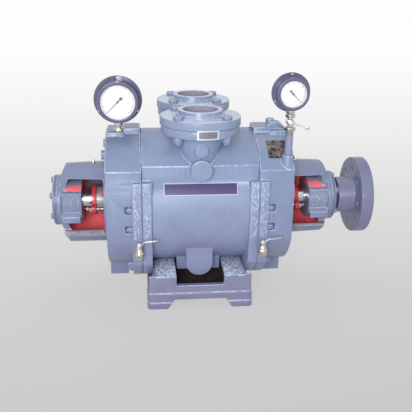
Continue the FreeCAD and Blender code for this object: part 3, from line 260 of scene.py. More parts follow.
def darkened(finish, code, ranges, within=None, spots="#4a3a36"):
    """Gives a hollow its own dull, flecked colour: inside the stated ranges, and within a radius of the
    ports' axes. Where that colour is near black it is painted shade.
    """
    tree = finish.node_tree
    shader = tree.nodes["Principled BSDF"]
    place = add(tree, "ShaderNodeTexCoord").outputs["Object"]
    apart = add(tree, "ShaderNodeSeparateXYZ", None, {0: place})
    share = add(tree, "ShaderNodeValue")
    share.outputs[0].default_value = 1.0
    for axis, (least, most) in ranges.items():
        far = apart.outputs[axis]
        if axis != "Z":
            far = add(tree, "ShaderNodeMath", {"operation": "ABSOLUTE"}, {0: far}).outputs[0]
        for test, limit in (("GREATER_THAN", least), ("LESS_THAN", most)):
            held = add(tree, "ShaderNodeMath", {"operation": test, 1: limit}, {0: far})
            share = add(tree, "ShaderNodeMath", {"operation": "MULTIPLY"},
                        {0: share.outputs[0], 1: held.outputs[0]})
    if within:
        far_y = add(tree, "ShaderNodeMath", {"operation": "ABSOLUTE"}, {0: apart.outputs["Y"]})
        off_y = add(tree, "ShaderNodeMath", {"operation": "SUBTRACT", 1: port_place}, {0: far_y.outputs[0]})
        flat = add(tree, "ShaderNodeCombineXYZ", None, {0: apart.outputs["X"], 1: off_y.outputs[0]})
        radius = add(tree, "ShaderNodeVectorMath", {"operation": "LENGTH"}, {0: flat.outputs[0]})
        near = add(tree, "ShaderNodeMath", {"operation": "LESS_THAN", 1: within},
                   {0: radius.outputs["Value"]})
        share = add(tree, "ShaderNodeMath", {"operation": "MULTIPLY"},
                    {0: near.outputs[0], 1: share.outputs[0]})
    rust = add(tree, "ShaderNodeTexNoise", {"Scale": 1 / 0.012, "Detail": 5.0, "Roughness": 0.7},
               {"Vector": place})
    hollow_tone = add(tree, "ShaderNodeMix", {"data_type": "RGBA", 6: linear(code), 7: linear(spots)},
               {0: rust.outputs["Fac"]})
    old = shader.inputs["Base Color"].links[0].from_socket
    either = add(tree, "ShaderNodeMix", {"data_type": "RGBA"},
                 {0: share.outputs[0], 6: old, 7: hollow_tone.outputs[2]})
    tree.links.new(either.outputs[2], shader.inputs["Base Color"])
    gloss = shader.inputs["Roughness"].links[0].from_socket
    dull = add(tree, "ShaderNodeMath", {"operation": "MAXIMUM"}, {0: gloss, 1: share.outputs[0]})
    tree.links.new(dull.outputs[0], shader.inputs["Roughness"])


darkened(casing_enamel, "#b3afc4", {"Z": (0.455, 0.52)}, within=0.0468, spots="#857b8b")
softened("body_casing", "main_casting", casing_enamel, 0.0022, edge=edge_enamel, merge=0.0002)

# Heads: the two end castings that close the main casting. They carry the gas passages up to the ports
# and are bolted on through the joint flanges, over a sheet of jointing.
# On the joint pads the heads' enamel carries pale painted glints.
head_enamel = cast_enamel("enamel_on_head_casting", lit="#8093b0", painted_glint=0.75,
                          zone={"X": (0.152, 0.187), "Y": (0.150, 0.190), "Z": (0.205, 0.366)})
softened("head_left", "left_head_casting", head_enamel, 0.0022, edge=edge_enamel, merge=0.0002)
softened("head_right", "right_head_casting", head_enamel, 0.0022, edge=edge_enamel, merge=0.0002)


def dress(node, finish):
    """Gives a node that keeps its own shape its finish."""
    own = nodes[node]
    if not own.material_slots:
        own.data.materials.append(finish)
    for slot in own.material_slots:
        slot.material = finish


# The sheet's edge is pressed fibre that soaked up the paint, so it is dull and faintly flecked.
joint_sheet, tree, shader, place = finish_named("jointing_sheet_painted_over")
fibres = add(tree, "ShaderNodeTexNoise", {"Scale": 1 / 0.00111, "Detail": 2.0}, {"Vector": place})
tone = add(tree, "ShaderNodeMix", {"data_type": "RGBA", 6: linear("#6d7392"), 7: linear("#868db0")},
           {0: fibres.outputs["Fac"]})
tree.links.new(tone.outputs[2], shader.inputs["Base Color"])
shader.inputs["Roughness"].default_value = 0.7
dress("head_gaskets", joint_sheet)
dress("port_gaskets", joint_sheet)

# Pedestal: cast under the casing, with a hollow between its feet. Its enamel is drawn darker and more violet
# than the casing's, painted shade low down. The deck is left rough from the sand, and pale painted glints sit
# on it.
pedestal_enamel = cast_enamel("enamel_on_rough_pedestal", lit="#8089a4", low="#787490", lump=0.005,
                              relief=0.55, painted_glint=1.0, zone={"X": (0.064, 0.128), "Z": (0.095, 0.125)},
                              painted_glint_colour="#e2eeff", cover=0.40, grain=0.0085)
# The pedestal's hollow is drawn near black with dark rust flecks: painted shade inside it.
darkened(pedestal_enamel, "#15100f", {"X": (-1.0, 0.1290), "Y": (-1.0, 0.1700), "Z": (0.029, 0.0985)})
softened("pedestal", "pedestal_casting", pedestal_enamel, 0.0020, edge=edge_enamel, merge=0.0002)

# Port flanges: turned steel pipe flanges over jointing on the casing's necks, painted with it. The
# turned faces are smoother than the castings.
flange_enamel = cast_enamel("enamel_on_turned_flange", lit="#8b9cb9", low="#8384a2", lump=0.009,
                            relief=0.10)
darkened(flange_enamel, "#b3afc4", {"Z": (0.515, 0.552)}, within=0.0471, spots="#857b8b")

# The flanges' top faces are smooth; where they face up they are drawn paler than their rims, a painted
# reflection of the sky's light.
tree = flange_enamel.node_tree
shader = tree.nodes["Principled BSDF"]
facing = add(tree, "ShaderNodeSeparateXYZ", None, {0: add(tree, "ShaderNodeNewGeometry").outputs["Normal"]})
level = add(tree, "ShaderNodeMapRange", {"From Min": 0.85, "From Max": 0.99, "To Max": 0.75},
            {"Value": facing.outputs["Z"]})
under = shader.inputs["Base Color"].links[0].from_socket
painted_sky_reflection = add(tree, "ShaderNodeMix", {"data_type": "RGBA", 7: linear("#d6e1f2")},
               {0: level.outputs[0], 6: under})
tree.links.new(painted_sky_reflection.outputs[2], shader.inputs["Base Color"])
softened("front_port_flange", "front_pipe_flange", flange_enamel, 0.0016, edge=edge_enamel)
softened("rear_port_flange", "rear_pipe_flange", flange_enamel, 0.0016, edge=edge_enamel)
# The coupling flange gets a darker, more violet copy of the enamel: painted shade on the side turned from the
# light.
shaded_coupling_enamel = cast_enamel("enamel_with_painted_shade_on_coupling_flange", lit="#797c9a", low="#6d6886", lump=0.009,
                              relief=0.10)
softened("drive_flange", "coupling_flange", shaded_coupling_enamel, 0.0007, edge=edge_enamel)

# Fasteners: hexagon nuts, bolts and studs of steel, painted over where they stand with the casing. The
# paint has closed the threads and rounds the corners of the hexagons.
fastener_enamel = cast_enamel("enamel_on_fasteners", lit="#8893b0", low="#727494", lump=0.003,
                              relief=0.15)
softened("front_port_bolts", "front_pipe_bolts", fastener_enamel, 0.0008, edge=edge_enamel)
softened("rear_port_bolts", "rear_pipe_bolts", fastener_enamel, 0.0008, edge=edge_enamel)
softened("joint_studs_left", "left_joint_nuts", fastener_enamel, 0.0007, edge=edge_enamel)
softened("joint_studs_right", "right_joint_nuts", fastener_enamel, 0.0007, edge=edge_enamel)
softened("head_plugs", "closing_plugs", fastener_enamel, 0.0009, edge=edge_enamel)
softened("cover_screws", "bearing_cover_screws", fastener_enamel, 0.0007, edge=edge_enamel)

# Brackets: lantern castings, open at the front over the gland, that carry the bearings. Inside, the floor and
# the wall above the housing are brushed with the same red as the gland, drawn lighter there as painted light
# in the shaded hollow. Pale painted glints sit on the housing's front.
shaft_height = 0.267
bracket_enamel = cast_enamel("enamel_and_red_on_bracket", lit="#7f8ba8", low="#767493", relief=0.5,
                             painted_glint=0.35, front_only=True,
                             zone={"X": (0.330, 0.390), "Y": (0.050, 0.090), "Z": (0.200, 0.312)})
tree = bracket_enamel.node_tree
shader = tree.nodes["Principled BSDF"]
place = add(tree, "ShaderNodeTexCoord").outputs["Object"]
apart = add(tree, "ShaderNodeSeparateXYZ", None, {0: place})
rise = add(tree, "ShaderNodeMath", {"operation": "SUBTRACT", 1: shaft_height}, {0: apart.outputs["Z"]})
off_axis = add(tree, "ShaderNodeCombineXYZ", None, {1: apart.outputs["Y"], 2: rise.outputs[0]})
radius = add(tree, "ShaderNodeVectorMath", {"operation": "LENGTH"}, {0: off_axis.outputs[0]})
outward = add(tree, "ShaderNodeVectorMath", {"operation": "NORMALIZE"}, {0: off_axis.outputs[0]})
normal = add(tree, "ShaderNodeNewGeometry").outputs["True Normal"]
facing = add(tree, "ShaderNodeVectorMath", {"operation": "DOT_PRODUCT"}, {0: outward.outputs[0], 1: normal})
upright = add(tree, "ShaderNodeSeparateXYZ", None, {0: normal})
out_x = add(tree, "ShaderNodeMath", {"operation": "ABSOLUTE"}, {0: apart.outputs["X"]})
ragged = add(tree, "ShaderNodeTexNoise", {"Scale": 1 / 0.016, "Detail": 4.0, "Roughness": 0.6},
             {"Vector": place})
reach = add(tree, "ShaderNodeMath", {"operation": "MULTIPLY_ADD", 1: 0.030},
            {0: ragged.outputs["Fac"], 2: out_x.outputs[0]})
edge_rise = add(tree, "ShaderNodeMath", {"operation": "MULTIPLY_ADD", 1: 0.024},
                {0: ragged.outputs["Fac"], 2: rise.outputs[0]})
beyond = add(tree, "ShaderNodeMath", {"operation": "GREATER_THAN", 1: 0.336}, {0: reach.outputs[0]})
floor_part = add(tree, "ShaderNodeMath", {"operation": "LESS_THAN", 1: -0.030}, {0: edge_rise.outputs[0]})
patch = add(tree, "ShaderNodeMath", {"operation": "MAXIMUM"},
            {0: beyond.outputs[0], 1: floor_part.outputs[0]})
ragged_sill_highlight = add(tree, "ShaderNodeMapRange", {"From Min": 0.36, "From Max": 0.60, "To Min": 0.45},
                {"Value": ragged.outputs["Fac"]})

# The red wall is the shell's inside, and the red crown the top of the housing. Both end raggedly.
shell_inside = 0.0935
wall_limits = (("LESS_THAN", facing.outputs["Value"], -0.5),
               ("GREATER_THAN", radius.outputs["Value"], 0.0640),
               ("LESS_THAN", radius.outputs["Value"], shell_inside),
               ("LESS_THAN", reach.outputs[0], 0.385))
crown_limits = (("GREATER_THAN", rise.outputs[0], 0.0405), ("LESS_THAN", edge_rise.outputs[0], 0.0660),
                ("LESS_THAN", radius.outputs["Value"], 0.0645), ("GREATER_THAN", out_x.outputs[0], 0.3270),
                ("LESS_THAN", out_x.outputs[0], 0.3760))
sill_limits = (("GREATER_THAN", upright.outputs["Z"], 0.8), ("LESS_THAN", rise.outputs[0], -0.060),
               ("GREATER_THAN", radius.outputs["Value"], shell_inside))
shares = []
for limits in (wall_limits, crown_limits, sill_limits):
    share = add(tree, "ShaderNodeValue")
    share.outputs[0].default_value = 1.0
    for test, value, limit in limits:
        held = add(tree, "ShaderNodeMath", {"operation": test, 1: limit}, {0: value})
        share = add(tree, "ShaderNodeMath", {"operation": "MULTIPLY"},
                    {0: share.outputs[0], 1: held.outputs[0]})
    shares.append(share)
wall, crown, sill = shares
wall_patch = add(tree, "ShaderNodeMath", {"operation": "MULTIPLY"}, {0: wall.outputs[0], 1: patch.outputs[0]})
red_share = add(tree, "ShaderNodeMath", {"operation": "MAXIMUM"},
                {0: wall_patch.outputs[0], 1: crown.outputs[0]})
# The red here is lighter than the gland's red: painted light inside the shaded bracket.
old_colour = shader.inputs["Base Color"].links[0].from_socket
two_tone = add(tree, "ShaderNodeMix", {"data_type": "RGBA", 7: linear("#ff7378")},
               {0: red_share.outputs[0], 6: old_colour})
# The sill's upward faces are drawn near white in ragged patches, a painted highlight.
painted_sill_highlight = add(tree, "ShaderNodeMath", {"operation": "MULTIPLY"},
                 {0: sill.outputs[0], 1: ragged_sill_highlight.outputs["Result"]})
with_painted_sill_highlight = add(tree, "ShaderNodeMix", {"data_type": "RGBA", 7: linear("#e6effa")},
                {0: painted_sill_highlight.outputs[0], 6: two_tone.outputs[2]})
tree.links.new(with_painted_sill_highlight.outputs[2], shader.inputs["Base Color"])
softened("bracket_left", "left_lantern_casting", bracket_enamel, 0.0013, edge=edge_enamel, merge=0.0002)
softened("bracket_right", "right_lantern_casting", bracket_enamel, 0.0013, edge=edge_enamel, merge=0.0002)
# The bearing caps get a darker copy of the enamel, painted shade on their end faces.
shaded_cap_enamel = cast_enamel("enamel_with_painted_shade_on_bearing_caps", lit="#69728e", low="#636383", lump=0.003, relief=0.6)
softened("bearing_cover_left", "left_bearing_cap", shaded_cap_enamel, 0.0011, edge=edge_enamel)
softened("bearing_cover_right", "right_bearing_cap", shaded_cap_enamel, 0.0011, edge=edge_enamel)

# Red parts: the gland followers and the bolts that hold the brackets, brushed with bright red enamel.
# The red is thick, glossy and a little uneven, and the followers' noses are turned bright.
red_enamel, tree, shader, place = finish_named("red_brushed_enamel")
strokes = add(tree, "ShaderNodeTexNoise", {"Scale": 1 / 0.00625, "Detail": 3.0}, {"Vector": place})
tone = add(tree, "ShaderNodeMix", {"data_type": "RGBA", 6: linear("#b92a35"), 7: linear("#e0404a")},
           {0: strokes.outputs["Fac"]})
bump = add(tree, "ShaderNodeBump", {"Strength": 0.2, "Distance": 0.0006},
           {"Height": strokes.outputs["Fac"]})
tree.links.new(bump.outputs["Normal"], shader.inputs["Normal"])
shader.inputs["Roughness"].default_value = 0.3
shader.inputs["IOR"].default_value = 1.5
apart = add(tree, "ShaderNodeSeparateXYZ", None, {0: place})
out_x = add(tree, "ShaderNodeMath", {"operation": "ABSOLUTE"}, {0: apart.outputs["X"]})
on_axis = add(tree, "ShaderNodeMath", {"operation": "SUBTRACT", 1: shaft_height}, {0: apart.outputs["Z"]})
off_axis = add(tree, "ShaderNodeCombineXYZ", None, {1: apart.outputs["Y"], 2: on_axis.outputs[0]})
radius = add(tree, "ShaderNodeVectorMath", {"operation": "LENGTH"}, {0: off_axis.outputs[0]})
slim = add(tree, "ShaderNodeMath", {"operation": "LESS_THAN", 1: 0.0385}, {0: radius.outputs["Value"]})
nose = add(tree, "ShaderNodeMath", {"operation": "LESS_THAN", 1: 0.2875}, {0: out_x.outputs[0]})
bare_nose = add(tree, "ShaderNodeMath", {"operation": "MULTIPLY"}, {0: slim.outputs[0], 1: nose.outputs[0]})
two_tone = add(tree, "ShaderNodeMix", {"data_type": "RGBA", 7: linear("#e9e6e0")},
               {0: bare_nose.outputs[0], 6: tone.outputs[2]})
tree.links.new(two_tone.outputs[2], shader.inputs["Base Color"])
half_bright = add(tree, "ShaderNodeMath", {"operation": "MULTIPLY", 1: 0.7}, {0: bare_nose.outputs[0]})
tree.links.new(half_bright.outputs[0], shader.inputs["Metallic"])
softened("gland_left", "left_gland_follower", red_enamel, 0.001)
softened("gland_right", "right_gland_follower", red_enamel, 0.001)
softened("bracket_bolts", "bracket_bolts_red", red_enamel, 0.0008)

# Shaft line: a turned steel shaft inside polished sleeves. Turning leaves fine rings round it, drawn
# here 1.2 mm apart so that they show.
ring_spacing = 0.00121
turned_steel, tree, shader, place = finish_named("turned_steel")
rings = add(tree, "ShaderNodeTexWave", {"Scale": math.pi / 10 / ring_spacing, "Distortion": 0.4,
                                        "bands_direction": "X"}, {"Vector": place})
tone = add(tree, "ShaderNodeMix", {"data_type": "RGBA", 6: linear("#a9abad"), 7: linear("#c6c8ca")},
           {0: rings.outputs["Fac"]})
bump = add(tree, "ShaderNodeBump", {"Strength": 0.15, "Distance": 0.0002},
           {"Height": rings.outputs["Fac"]})
tree.links.new(tone.outputs[2], shader.inputs["Base Color"])
tree.links.new(bump.outputs["Normal"], shader.inputs["Normal"])
shader.inputs["Metallic"].default_value = 1.0
shader.inputs["Roughness"].default_value = 0.34
for node in ("shaft", "bearing_inner_races", "bearing_outer_races", "shaft_lock_nuts", "drive_key",
             "impeller_key"):
    dress(node, turned_steel)

# The sleeves are ground and polished, so they mirror what is round them with a little haze.
polished_steel, tree, shader, place = finish_named("polished_steel")
haze = add(tree, "ShaderNodeTexNoise", {"Scale": 1 / 0.00833, "Detail": 2.0}, {"Vector": place})
gloss = add(tree, "ShaderNodeMapRange", {"To Min": 0.12, "To Max": 0.28},
            {"Value": haze.outputs["Fac"]})
tree.links.new(gloss.outputs["Result"], shader.inputs["Roughness"])
shader.inputs["Base Color"].default_value = linear("#d9dadc")
shader.inputs["Metallic"].default_value = 1.0
for node in ("sleeve_left", "sleeve_right", "bearing_balls"):
    dress(node, polished_steel)

# Gland studs: rolled steel thread rods with their nuts, left bare and bright. The thread's ridges are drawn
# 3.9 mm apart, coarser than the real ones, so that they show, and the grooves between them are drawn darker,
# painted shade.
ridge_spacing = 0.00393
thread_steel, tree, shader, place = finish_named("rolled_thread_steel")
thread = add(tree, "ShaderNodeTexWave", {"Scale": math.pi / 10 / ridge_spacing, "bands_direction": "X"},
             {"Vector": place})
tone = add(tree, "ShaderNodeMix", {"data_type": "RGBA", 6: linear("#8d9094"), 7: linear("#c9ccd0")},
           {0: thread.outputs["Fac"]})
bump = add(tree, "ShaderNodeBump", {"Strength": 0.6, "Distance": 0.0006},
           {"Height": thread.outputs["Fac"]})
tree.links.new(tone.outputs[2], shader.inputs["Base Color"])
tree.links.new(bump.outputs["Normal"], shader.inputs["Normal"])
shader.inputs["Metallic"].default_value = 1.0
shader.inputs["Roughness"].default_value = 0.33
softened("gland_studs", "gland_rods", thread_steel, 0.0006)

# Inner pieces that only show with the heads off: the iron impeller and port plates, the packing and
# its brass lantern rings.
bare_iron, tree, shader, place = finish_named("machined_grey_iron")
flakes = add(tree, "ShaderNodeTexNoise", {"Scale": 1 / 0.00238, "Detail": 4.0}, {"Vector": place})
tone = add(tree, "ShaderNodeMix", {"data_type": "RGBA", 6: linear("#55565a"), 7: linear("#7b7d82")},
           {0: flakes.outputs["Fac"]})
tree.links.new(tone.outputs[2], shader.inputs["Base Color"])
shader.inputs["Metallic"].default_value = 0.8
shader.inputs["Roughness"].default_value = 0.5
for node in ("impeller", "port_plate_left", "port_plate_right"):
    dress(node, bare_iron)

# The packing is plaited fibre rubbed with graphite, dark and dull, with a plait every 4.2 mm.
plait_spacing = 0.0042
braid, tree, shader, place = finish_named("graphite_packing_braid")
plait = add(tree, "ShaderNodeTexWave", {"Scale": math.pi / 5 / plait_spacing, "Distortion": 2.0,
                                        "bands_direction": "DIAGONAL"}, {"Vector": place})
tone = add(tree, "ShaderNodeMix", {"data_type": "RGBA", 6: linear("#3a3835"), 7: linear("#6b665e")},
           {0: plait.outputs["Fac"]})
tree.links.new(tone.outputs[2], shader.inputs["Base Color"])
shader.inputs["Roughness"].default_value = 0.8
dress("packing_rings", braid)

# The lantern rings are cast brass, a warm metal with faint stains.
brass, tree, shader, place = finish_named("cast_brass")
stain = add(tree, "ShaderNodeTexNoise", {"Scale": 1 / 0.00556, "Detail": 3.0}, {"Vector": place})
tone = add(tree, "ShaderNodeMix", {"data_type": "RGBA", 6: linear("#9c8350"), 7: linear("#d3bf8c")},
           {0: stain.outputs["Fac"]})
tree.links.new(tone.outputs[2], shader.inputs["Base Color"])
shader.inputs["Metallic"].default_value = 1.0
shader.inputs["Roughness"].default_value = 0.32
dress("lantern_rings", brass)

# Drain cocks: small nickel plated brass cocks on the joint flanges, with a pressed steel lever. The
# plating is warm and thin, so brass shows through on the corners.
nickel, tree, shader, place = finish_named("nickel_plated_brass")
wear = add(tree, "ShaderNodeTexNoise", {"Scale": 1 / 0.00714, "Detail": 4.0}, {"Vector": place})
tone = add(tree, "ShaderNodeMix", {"data_type": "RGBA", 6: linear("#bdb5a6"), 7: linear("#ebe9e4")},
           {0: wear.outputs["Fac"]})
gloss = add(tree, "ShaderNodeMapRange", {"To Min": 0.18, "To Max": 0.34},
            {"Value": wear.outputs["Fac"]})
tree.links.new(tone.outputs[2], shader.inputs["Base Color"])
tree.links.new(gloss.outputs["Result"], shader.inputs["Roughness"])
shader.inputs["Metallic"].default_value = 1.0
softened("drain_cock_left", "left_drain_cock_body", nickel, 0.0006)
softened("drain_cock_right", "right_drain_cock_body", nickel, 0.0006)
softened("gauge_cock_body", "gauge_cock_three_part", nickel, 0.0006)
softened("large_gauge_stem", "large_gauge_union", nickel, 0.0007)
softened("grease_nipples", "grease_points", nickel, 0.0004)

# The levers are pressed from sheet and zinc plated, which leaves them almost white and softly glossy.
pressed_steel, tree, shader, place = finish_named("zinc_plated_pressed_steel")
cloud = add(tree, "ShaderNodeTexNoise", {"Scale": 1 / 0.0111, "Detail": 3.0}, {"Vector": place})
tone = add(tree, "ShaderNodeMix", {"data_type": "RGBA", 6: linear("#cfd1d5"), 7: linear("#f2f3f5")},
           {0: cloud.outputs["Fac"]})
tree.links.new(tone.outputs[2], shader.inputs["Base Color"])
shader.inputs["Metallic"].default_value = 1.0
shader.inputs["Roughness"].default_value = 0.3
softened("drain_lever_left", "left_drain_handle", pressed_steel, 0.0005)
softened("drain_lever_right", "right_drain_handle", pressed_steel, 0.0005)
softened("gauge_cock_lever", "gauge_cock_handle", pressed_steel, 0.0005)

# Riser pipe: a steel pipe screwed into the boss on the right head. It was brushed with the casing's
# enamel and left bare at its threaded ends.
riser_enamel = cast_enamel("enamel_on_riser_pipe", lit="#9199b8", low="#7e85a5", lump=0.006,
                           relief=0.08)
tree = riser_enamel.node_tree
shader = tree.nodes["Principled BSDF"]
pipe_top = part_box("riser_pipe")[1].z
place = add(tree, "ShaderNodeTexCoord").outputs["Object"]
apart = add(tree, "ShaderNodeSeparateXYZ", None, {0: place})
bare_end = add(tree, "ShaderNodeMapRange", {"From Min": pipe_top - 0.030, "From Max": pipe_top - 0.022},
               {"Value": apart.outputs["Z"]})
old_colour = shader.inputs["Base Color"].links[0].from_socket
half_bare = add(tree, "ShaderNodeMix", {"data_type": "RGBA", 7: linear("#b9babd")},
                {0: bare_end.outputs["Result"], 6: old_colour})
tree.links.new(half_bare.outputs[2], shader.inputs["Base Color"])
tree.links.new(bare_end.outputs["Result"], shader.inputs["Metallic"])
softened("riser_pipe", "riser_pipe_half_painted", riser_enamel, 0.0008)

# Gauges: pressed steel cases with a back flange and a rolled bezel, in a darker glossy paint. Each has a
# white enamelled dial with a fine scale, a black pointer and a flat glass.
gauge_paint, tree, shader, place = finish_named("glossy_gauge_paint")
cloud = add(tree, "ShaderNodeTexNoise", {"Scale": 1 / 0.0222, "Detail": 2.0}, {"Vector": place})
peel = add(tree, "ShaderNodeTexNoise", {"Scale": 1 / 0.00238, "Detail": 1.0}, {"Vector": place})
tone = add(tree, "ShaderNodeMix", {"data_type": "RGBA", 6: linear("#535470"), 7: linear("#696a86")},
           {0: cloud.outputs["Fac"]})
bump = add(tree, "ShaderNodeBump", {"Strength": 0.12, "Distance": 0.0004},
           {"Height": peel.outputs["Fac"]})
tree.links.new(tone.outputs[2], shader.inputs["Base Color"])
tree.links.new(bump.outputs["Normal"], shader.inputs["Normal"])
shader.inputs["Roughness"].default_value = 0.22
shader.inputs["IOR"].default_value = 1.5
softened("large_gauge_case", "large_gauge_pressed_case", gauge_paint, 0.0009)
softened("small_gauge_case", "small_gauge_pressed_case", gauge_paint, 0.0009)

# The pointers are thin brass under a semi matt black paint.
pointer_paint, tree, shader, place = finish_named("black_pointer_paint")
cloud = add(tree, "ShaderNodeTexNoise", {"Scale": 1 / 0.00333}, {"Vector": place})
tone = add(tree, "ShaderNodeMix", {"data_type": "RGBA", 6: linear("#17181b"), 7: linear("#2a2b30")},
           {0: cloud.outputs["Fac"]})
tree.links.new(tone.outputs[2], shader.inputs["Base Color"])
shader.inputs["Roughness"].default_value = 0.4
dress("large_gauge_pointer", pointer_paint)
dress("small_gauge_pointer", pointer_paint)

# The windows are plain float glass, clear and flat, with faint smears in the gloss.
window_glass, tree, shader, place = finish_named("flat_window_glass")
smear = add(tree, "ShaderNodeTexNoise", {"Scale": 1 / 0.040, "Detail": 3.0}, {"Vector": place})
gloss = add(tree, "ShaderNodeMapRange", {"To Min": 0.03, "To Max": 0.10},
            {"Value": smear.outputs["Fac"]})
tree.links.new(gloss.outputs["Result"], shader.inputs["Roughness"])
shader.inputs["Base Color"].default_value = linear("#f4f8fa")
shader.inputs["Alpha"].default_value = 0.10
shader.inputs["IOR"].default_value = 1.5
dress("large_gauge_glass", window_glass)
dress("small_gauge_glass", window_glass)

for size in ("large", "small"):
    # Dial: fifty fine marks round three quarters of the face, every fifth one longer, on white enamel.
    low_corner, high_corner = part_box(size + "_gauge_dial")
    centre = (low_corner + high_corner) / 2
    dial_radius = (high_corner.x - low_corner.x) / 2
    dial_enamel, tree, shader, place = finish_named(size + "_white_dial_enamel")
    centred = add(tree, "ShaderNodeMapping", {"Location": (-centre.x, 0.0, -centre.z)},
                  {"Vector": place})
    apart = add(tree, "ShaderNodeSeparateXYZ", None, {0: centred.outputs[0]})
    flat = add(tree, "ShaderNodeCombineXYZ", None, {0: apart.outputs["X"], 2: apart.outputs["Z"]})
    radius = add(tree, "ShaderNodeVectorMath", {"operation": "LENGTH"}, {0: flat.outputs[0]})
    turn = add(tree, "ShaderNodeMath", {"operation": "ARCTAN2"},
               {0: apart.outputs["X"], 1: apart.outputs["Z"]})
    steps = add(tree, "ShaderNodeMath", {"operation": "MULTIPLY", 1: 50 / math.radians(270)},
                {0: turn.outputs[0]})
    fine = add(tree, "ShaderNodeMath", {"operation": "PINGPONG", 1: 0.5}, {0: steps.outputs[0]})
    fives = add(tree, "ShaderNodeMath", {"operation": "MULTIPLY", 1: 0.2}, {0: steps.outputs[0]})
    long_mark = add(tree, "ShaderNodeMath", {"operation": "PINGPONG", 1: 0.5}, {0: fives.outputs[0]})
    fine_ink = add(tree, "ShaderNodeMath", {"operation": "LESS_THAN", 1: 0.11}, {0: fine.outputs[0]})
    long_ink = add(tree, "ShaderNodeMath", {"operation": "LESS_THAN", 1: 0.035},
                   {0: long_mark.outputs[0]})
    fine_from = add(tree, "ShaderNodeMath", {"operation": "GREATER_THAN", 1: dial_radius * 0.82},
                    {0: radius.outputs["Value"]})
    long_from = add(tree, "ShaderNodeMath", {"operation": "GREATER_THAN", 1: dial_radius * 0.72},
                    {0: radius.outputs["Value"]})
    until = add(tree, "ShaderNodeMath", {"operation": "LESS_THAN", 1: dial_radius * 0.88},
                {0: radius.outputs["Value"]})
    far_turn = add(tree, "ShaderNodeMath", {"operation": "ABSOLUTE"}, {0: turn.outputs[0]})
    in_arc = add(tree, "ShaderNodeMath", {"operation": "LESS_THAN", 1: math.radians(136)},
                 {0: far_turn.outputs[0]})
    ring_line = add(tree, "ShaderNodeMath", {"operation": "GREATER_THAN", 1: dial_radius * 0.865},
                    {0: radius.outputs["Value"]})
    marks = ring_line
    for ink, start in ((fine_ink, fine_from), (long_ink, long_from)):
        part = add(tree, "ShaderNodeMath", {"operation": "MULTIPLY"},
                   {0: ink.outputs[0], 1: start.outputs[0]})
        marks = add(tree, "ShaderNodeMath", {"operation": "MAXIMUM"},
                    {0: marks.outputs[0], 1: part.outputs[0]})
    for held in (until, in_arc):
        marks = add(tree, "ShaderNodeMath", {"operation": "MULTIPLY"},
                    {0: marks.outputs[0], 1: held.outputs[0]})
    faint = add(tree, "ShaderNodeMath", {"operation": "MULTIPLY", 1: 0.7}, {0: marks.outputs[0]})
    face = add(tree, "ShaderNodeMix", {"data_type": "RGBA", 6: linear("#f3f3f2"), 7: linear("#2c2d33")},
               {0: faint.outputs[0]})
    tree.links.new(face.outputs[2], shader.inputs["Base Color"])
    shader.inputs["Roughness"].default_value = 0.45
    dress(size + "_gauge_dial", dial_enamel)

    # Bezel: rolled from sheet over the case's mouth, with a round nose and a step down to the glass.
    softened(size + "_gauge_bezel", size + "_gauge_rolled_bezel", gauge_paint, 0.0015, 3)

# Flange screws of the gauges: three small slotted steel screws round each back flange, bright against
# the paint.
screw_steel, tree, shader, place = finish_named("bright_screw_steel")
cloud = add(tree, "ShaderNodeTexNoise", {"Scale": 1 / 0.002}, {"Vector": place})
gloss = add(tree, "ShaderNodeMapRange", {"To Min": 0.2, "To Max": 0.35},
            {"Value": cloud.outputs["Fac"]})
tree.links.new(gloss.outputs["Result"], shader.inputs["Roughness"])
shader.inputs["Base Color"].default_value = linear("#d5d7da")
shader.inputs["Metallic"].default_value = 1.0
bpy.ops.object.select_all(action="DESELECT")
bpy.ops.mesh.primitive_cylinder_add(vertices=20, radius=0.0032, depth=0.0024,
                                    rotation=(math.radians(90), 0, 0))
pattern_screw = bpy.context.object
bpy.ops.object.transform_apply(location=True, rotation=True, scale=True)
bpy.ops.object.mode_set(mode="EDIT")
bpy.ops.mesh.select_mode(type="FACE")
bpy.ops.mesh.select_all(action="DESELECT")
net = bmesh.from_edit_mesh(pattern_screw.data)
for side in net.faces:
    side.select = side.normal.y < -0.9
bmesh.update_edit_mesh(pattern_screw.data)
bpy.ops.mesh.inset(thickness=0.0006)
bpy.ops.transform.translate(value=(0, -0.0005, 0))
bpy.ops.object.mode_set(mode="OBJECT")
bpy.ops.mesh.primitive_cube_add(size=1.0, location=(0, -0.0016, 0), scale=(0.0062, 0.0012, 0.0008))
slot_cutter = bpy.context.object
slot_cut = pattern_screw.modifiers.new("slot", "BOOLEAN")
slot_cut.object = slot_cutter
slot_cut.operation = "DIFFERENCE"
slot_cut.solver = "EXACT"
bpy.ops.object.select_all(action="DESELECT")
pattern_screw.select_set(True)
bpy.context.view_layer.objects.active = pattern_screw
bpy.ops.object.modifier_apply(modifier=slot_cut.name)
bpy.data.objects.remove(slot_cutter)
pattern_screw.data.materials.append(screw_steel)
for size in ("large", "small"):
    flange_low, flange_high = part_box(size + "_gauge_case")
    bezel_low, bezel_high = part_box(size + "_gauge_bezel")
    flange_radius = (flange_high.x - flange_low.x) / 2
    bezel_radius = (bezel_high.x - bezel_low.x) / 2
    flange_front = flange_high.y - 0.0025
    circle = (flange_radius + bezel_radius) / 2
    middle = (flange_low + flange_high) / 2
    for number, angle in enumerate((0, 120, 240)):
        screw = pattern_screw.copy()
        screw.data = pattern_screw.data.copy()
        screw.name = size + "_gauge_screw_" + str(number)
        bpy.context.scene.collection.objects.link(screw)
        turn = Matrix.Rotation(math.radians(25 + angle), 4, "Y")
        shift = Matrix.Translation((middle.x + circle * math.sin(math.radians(angle)), flange_front - 0.0011,
                                    middle.z + circle * math.cos(math.radians(angle))))
        screw.data.transform(shift @ turn)
        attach(screw, "casing")
bpy.data.objects.remove(pattern_screw)

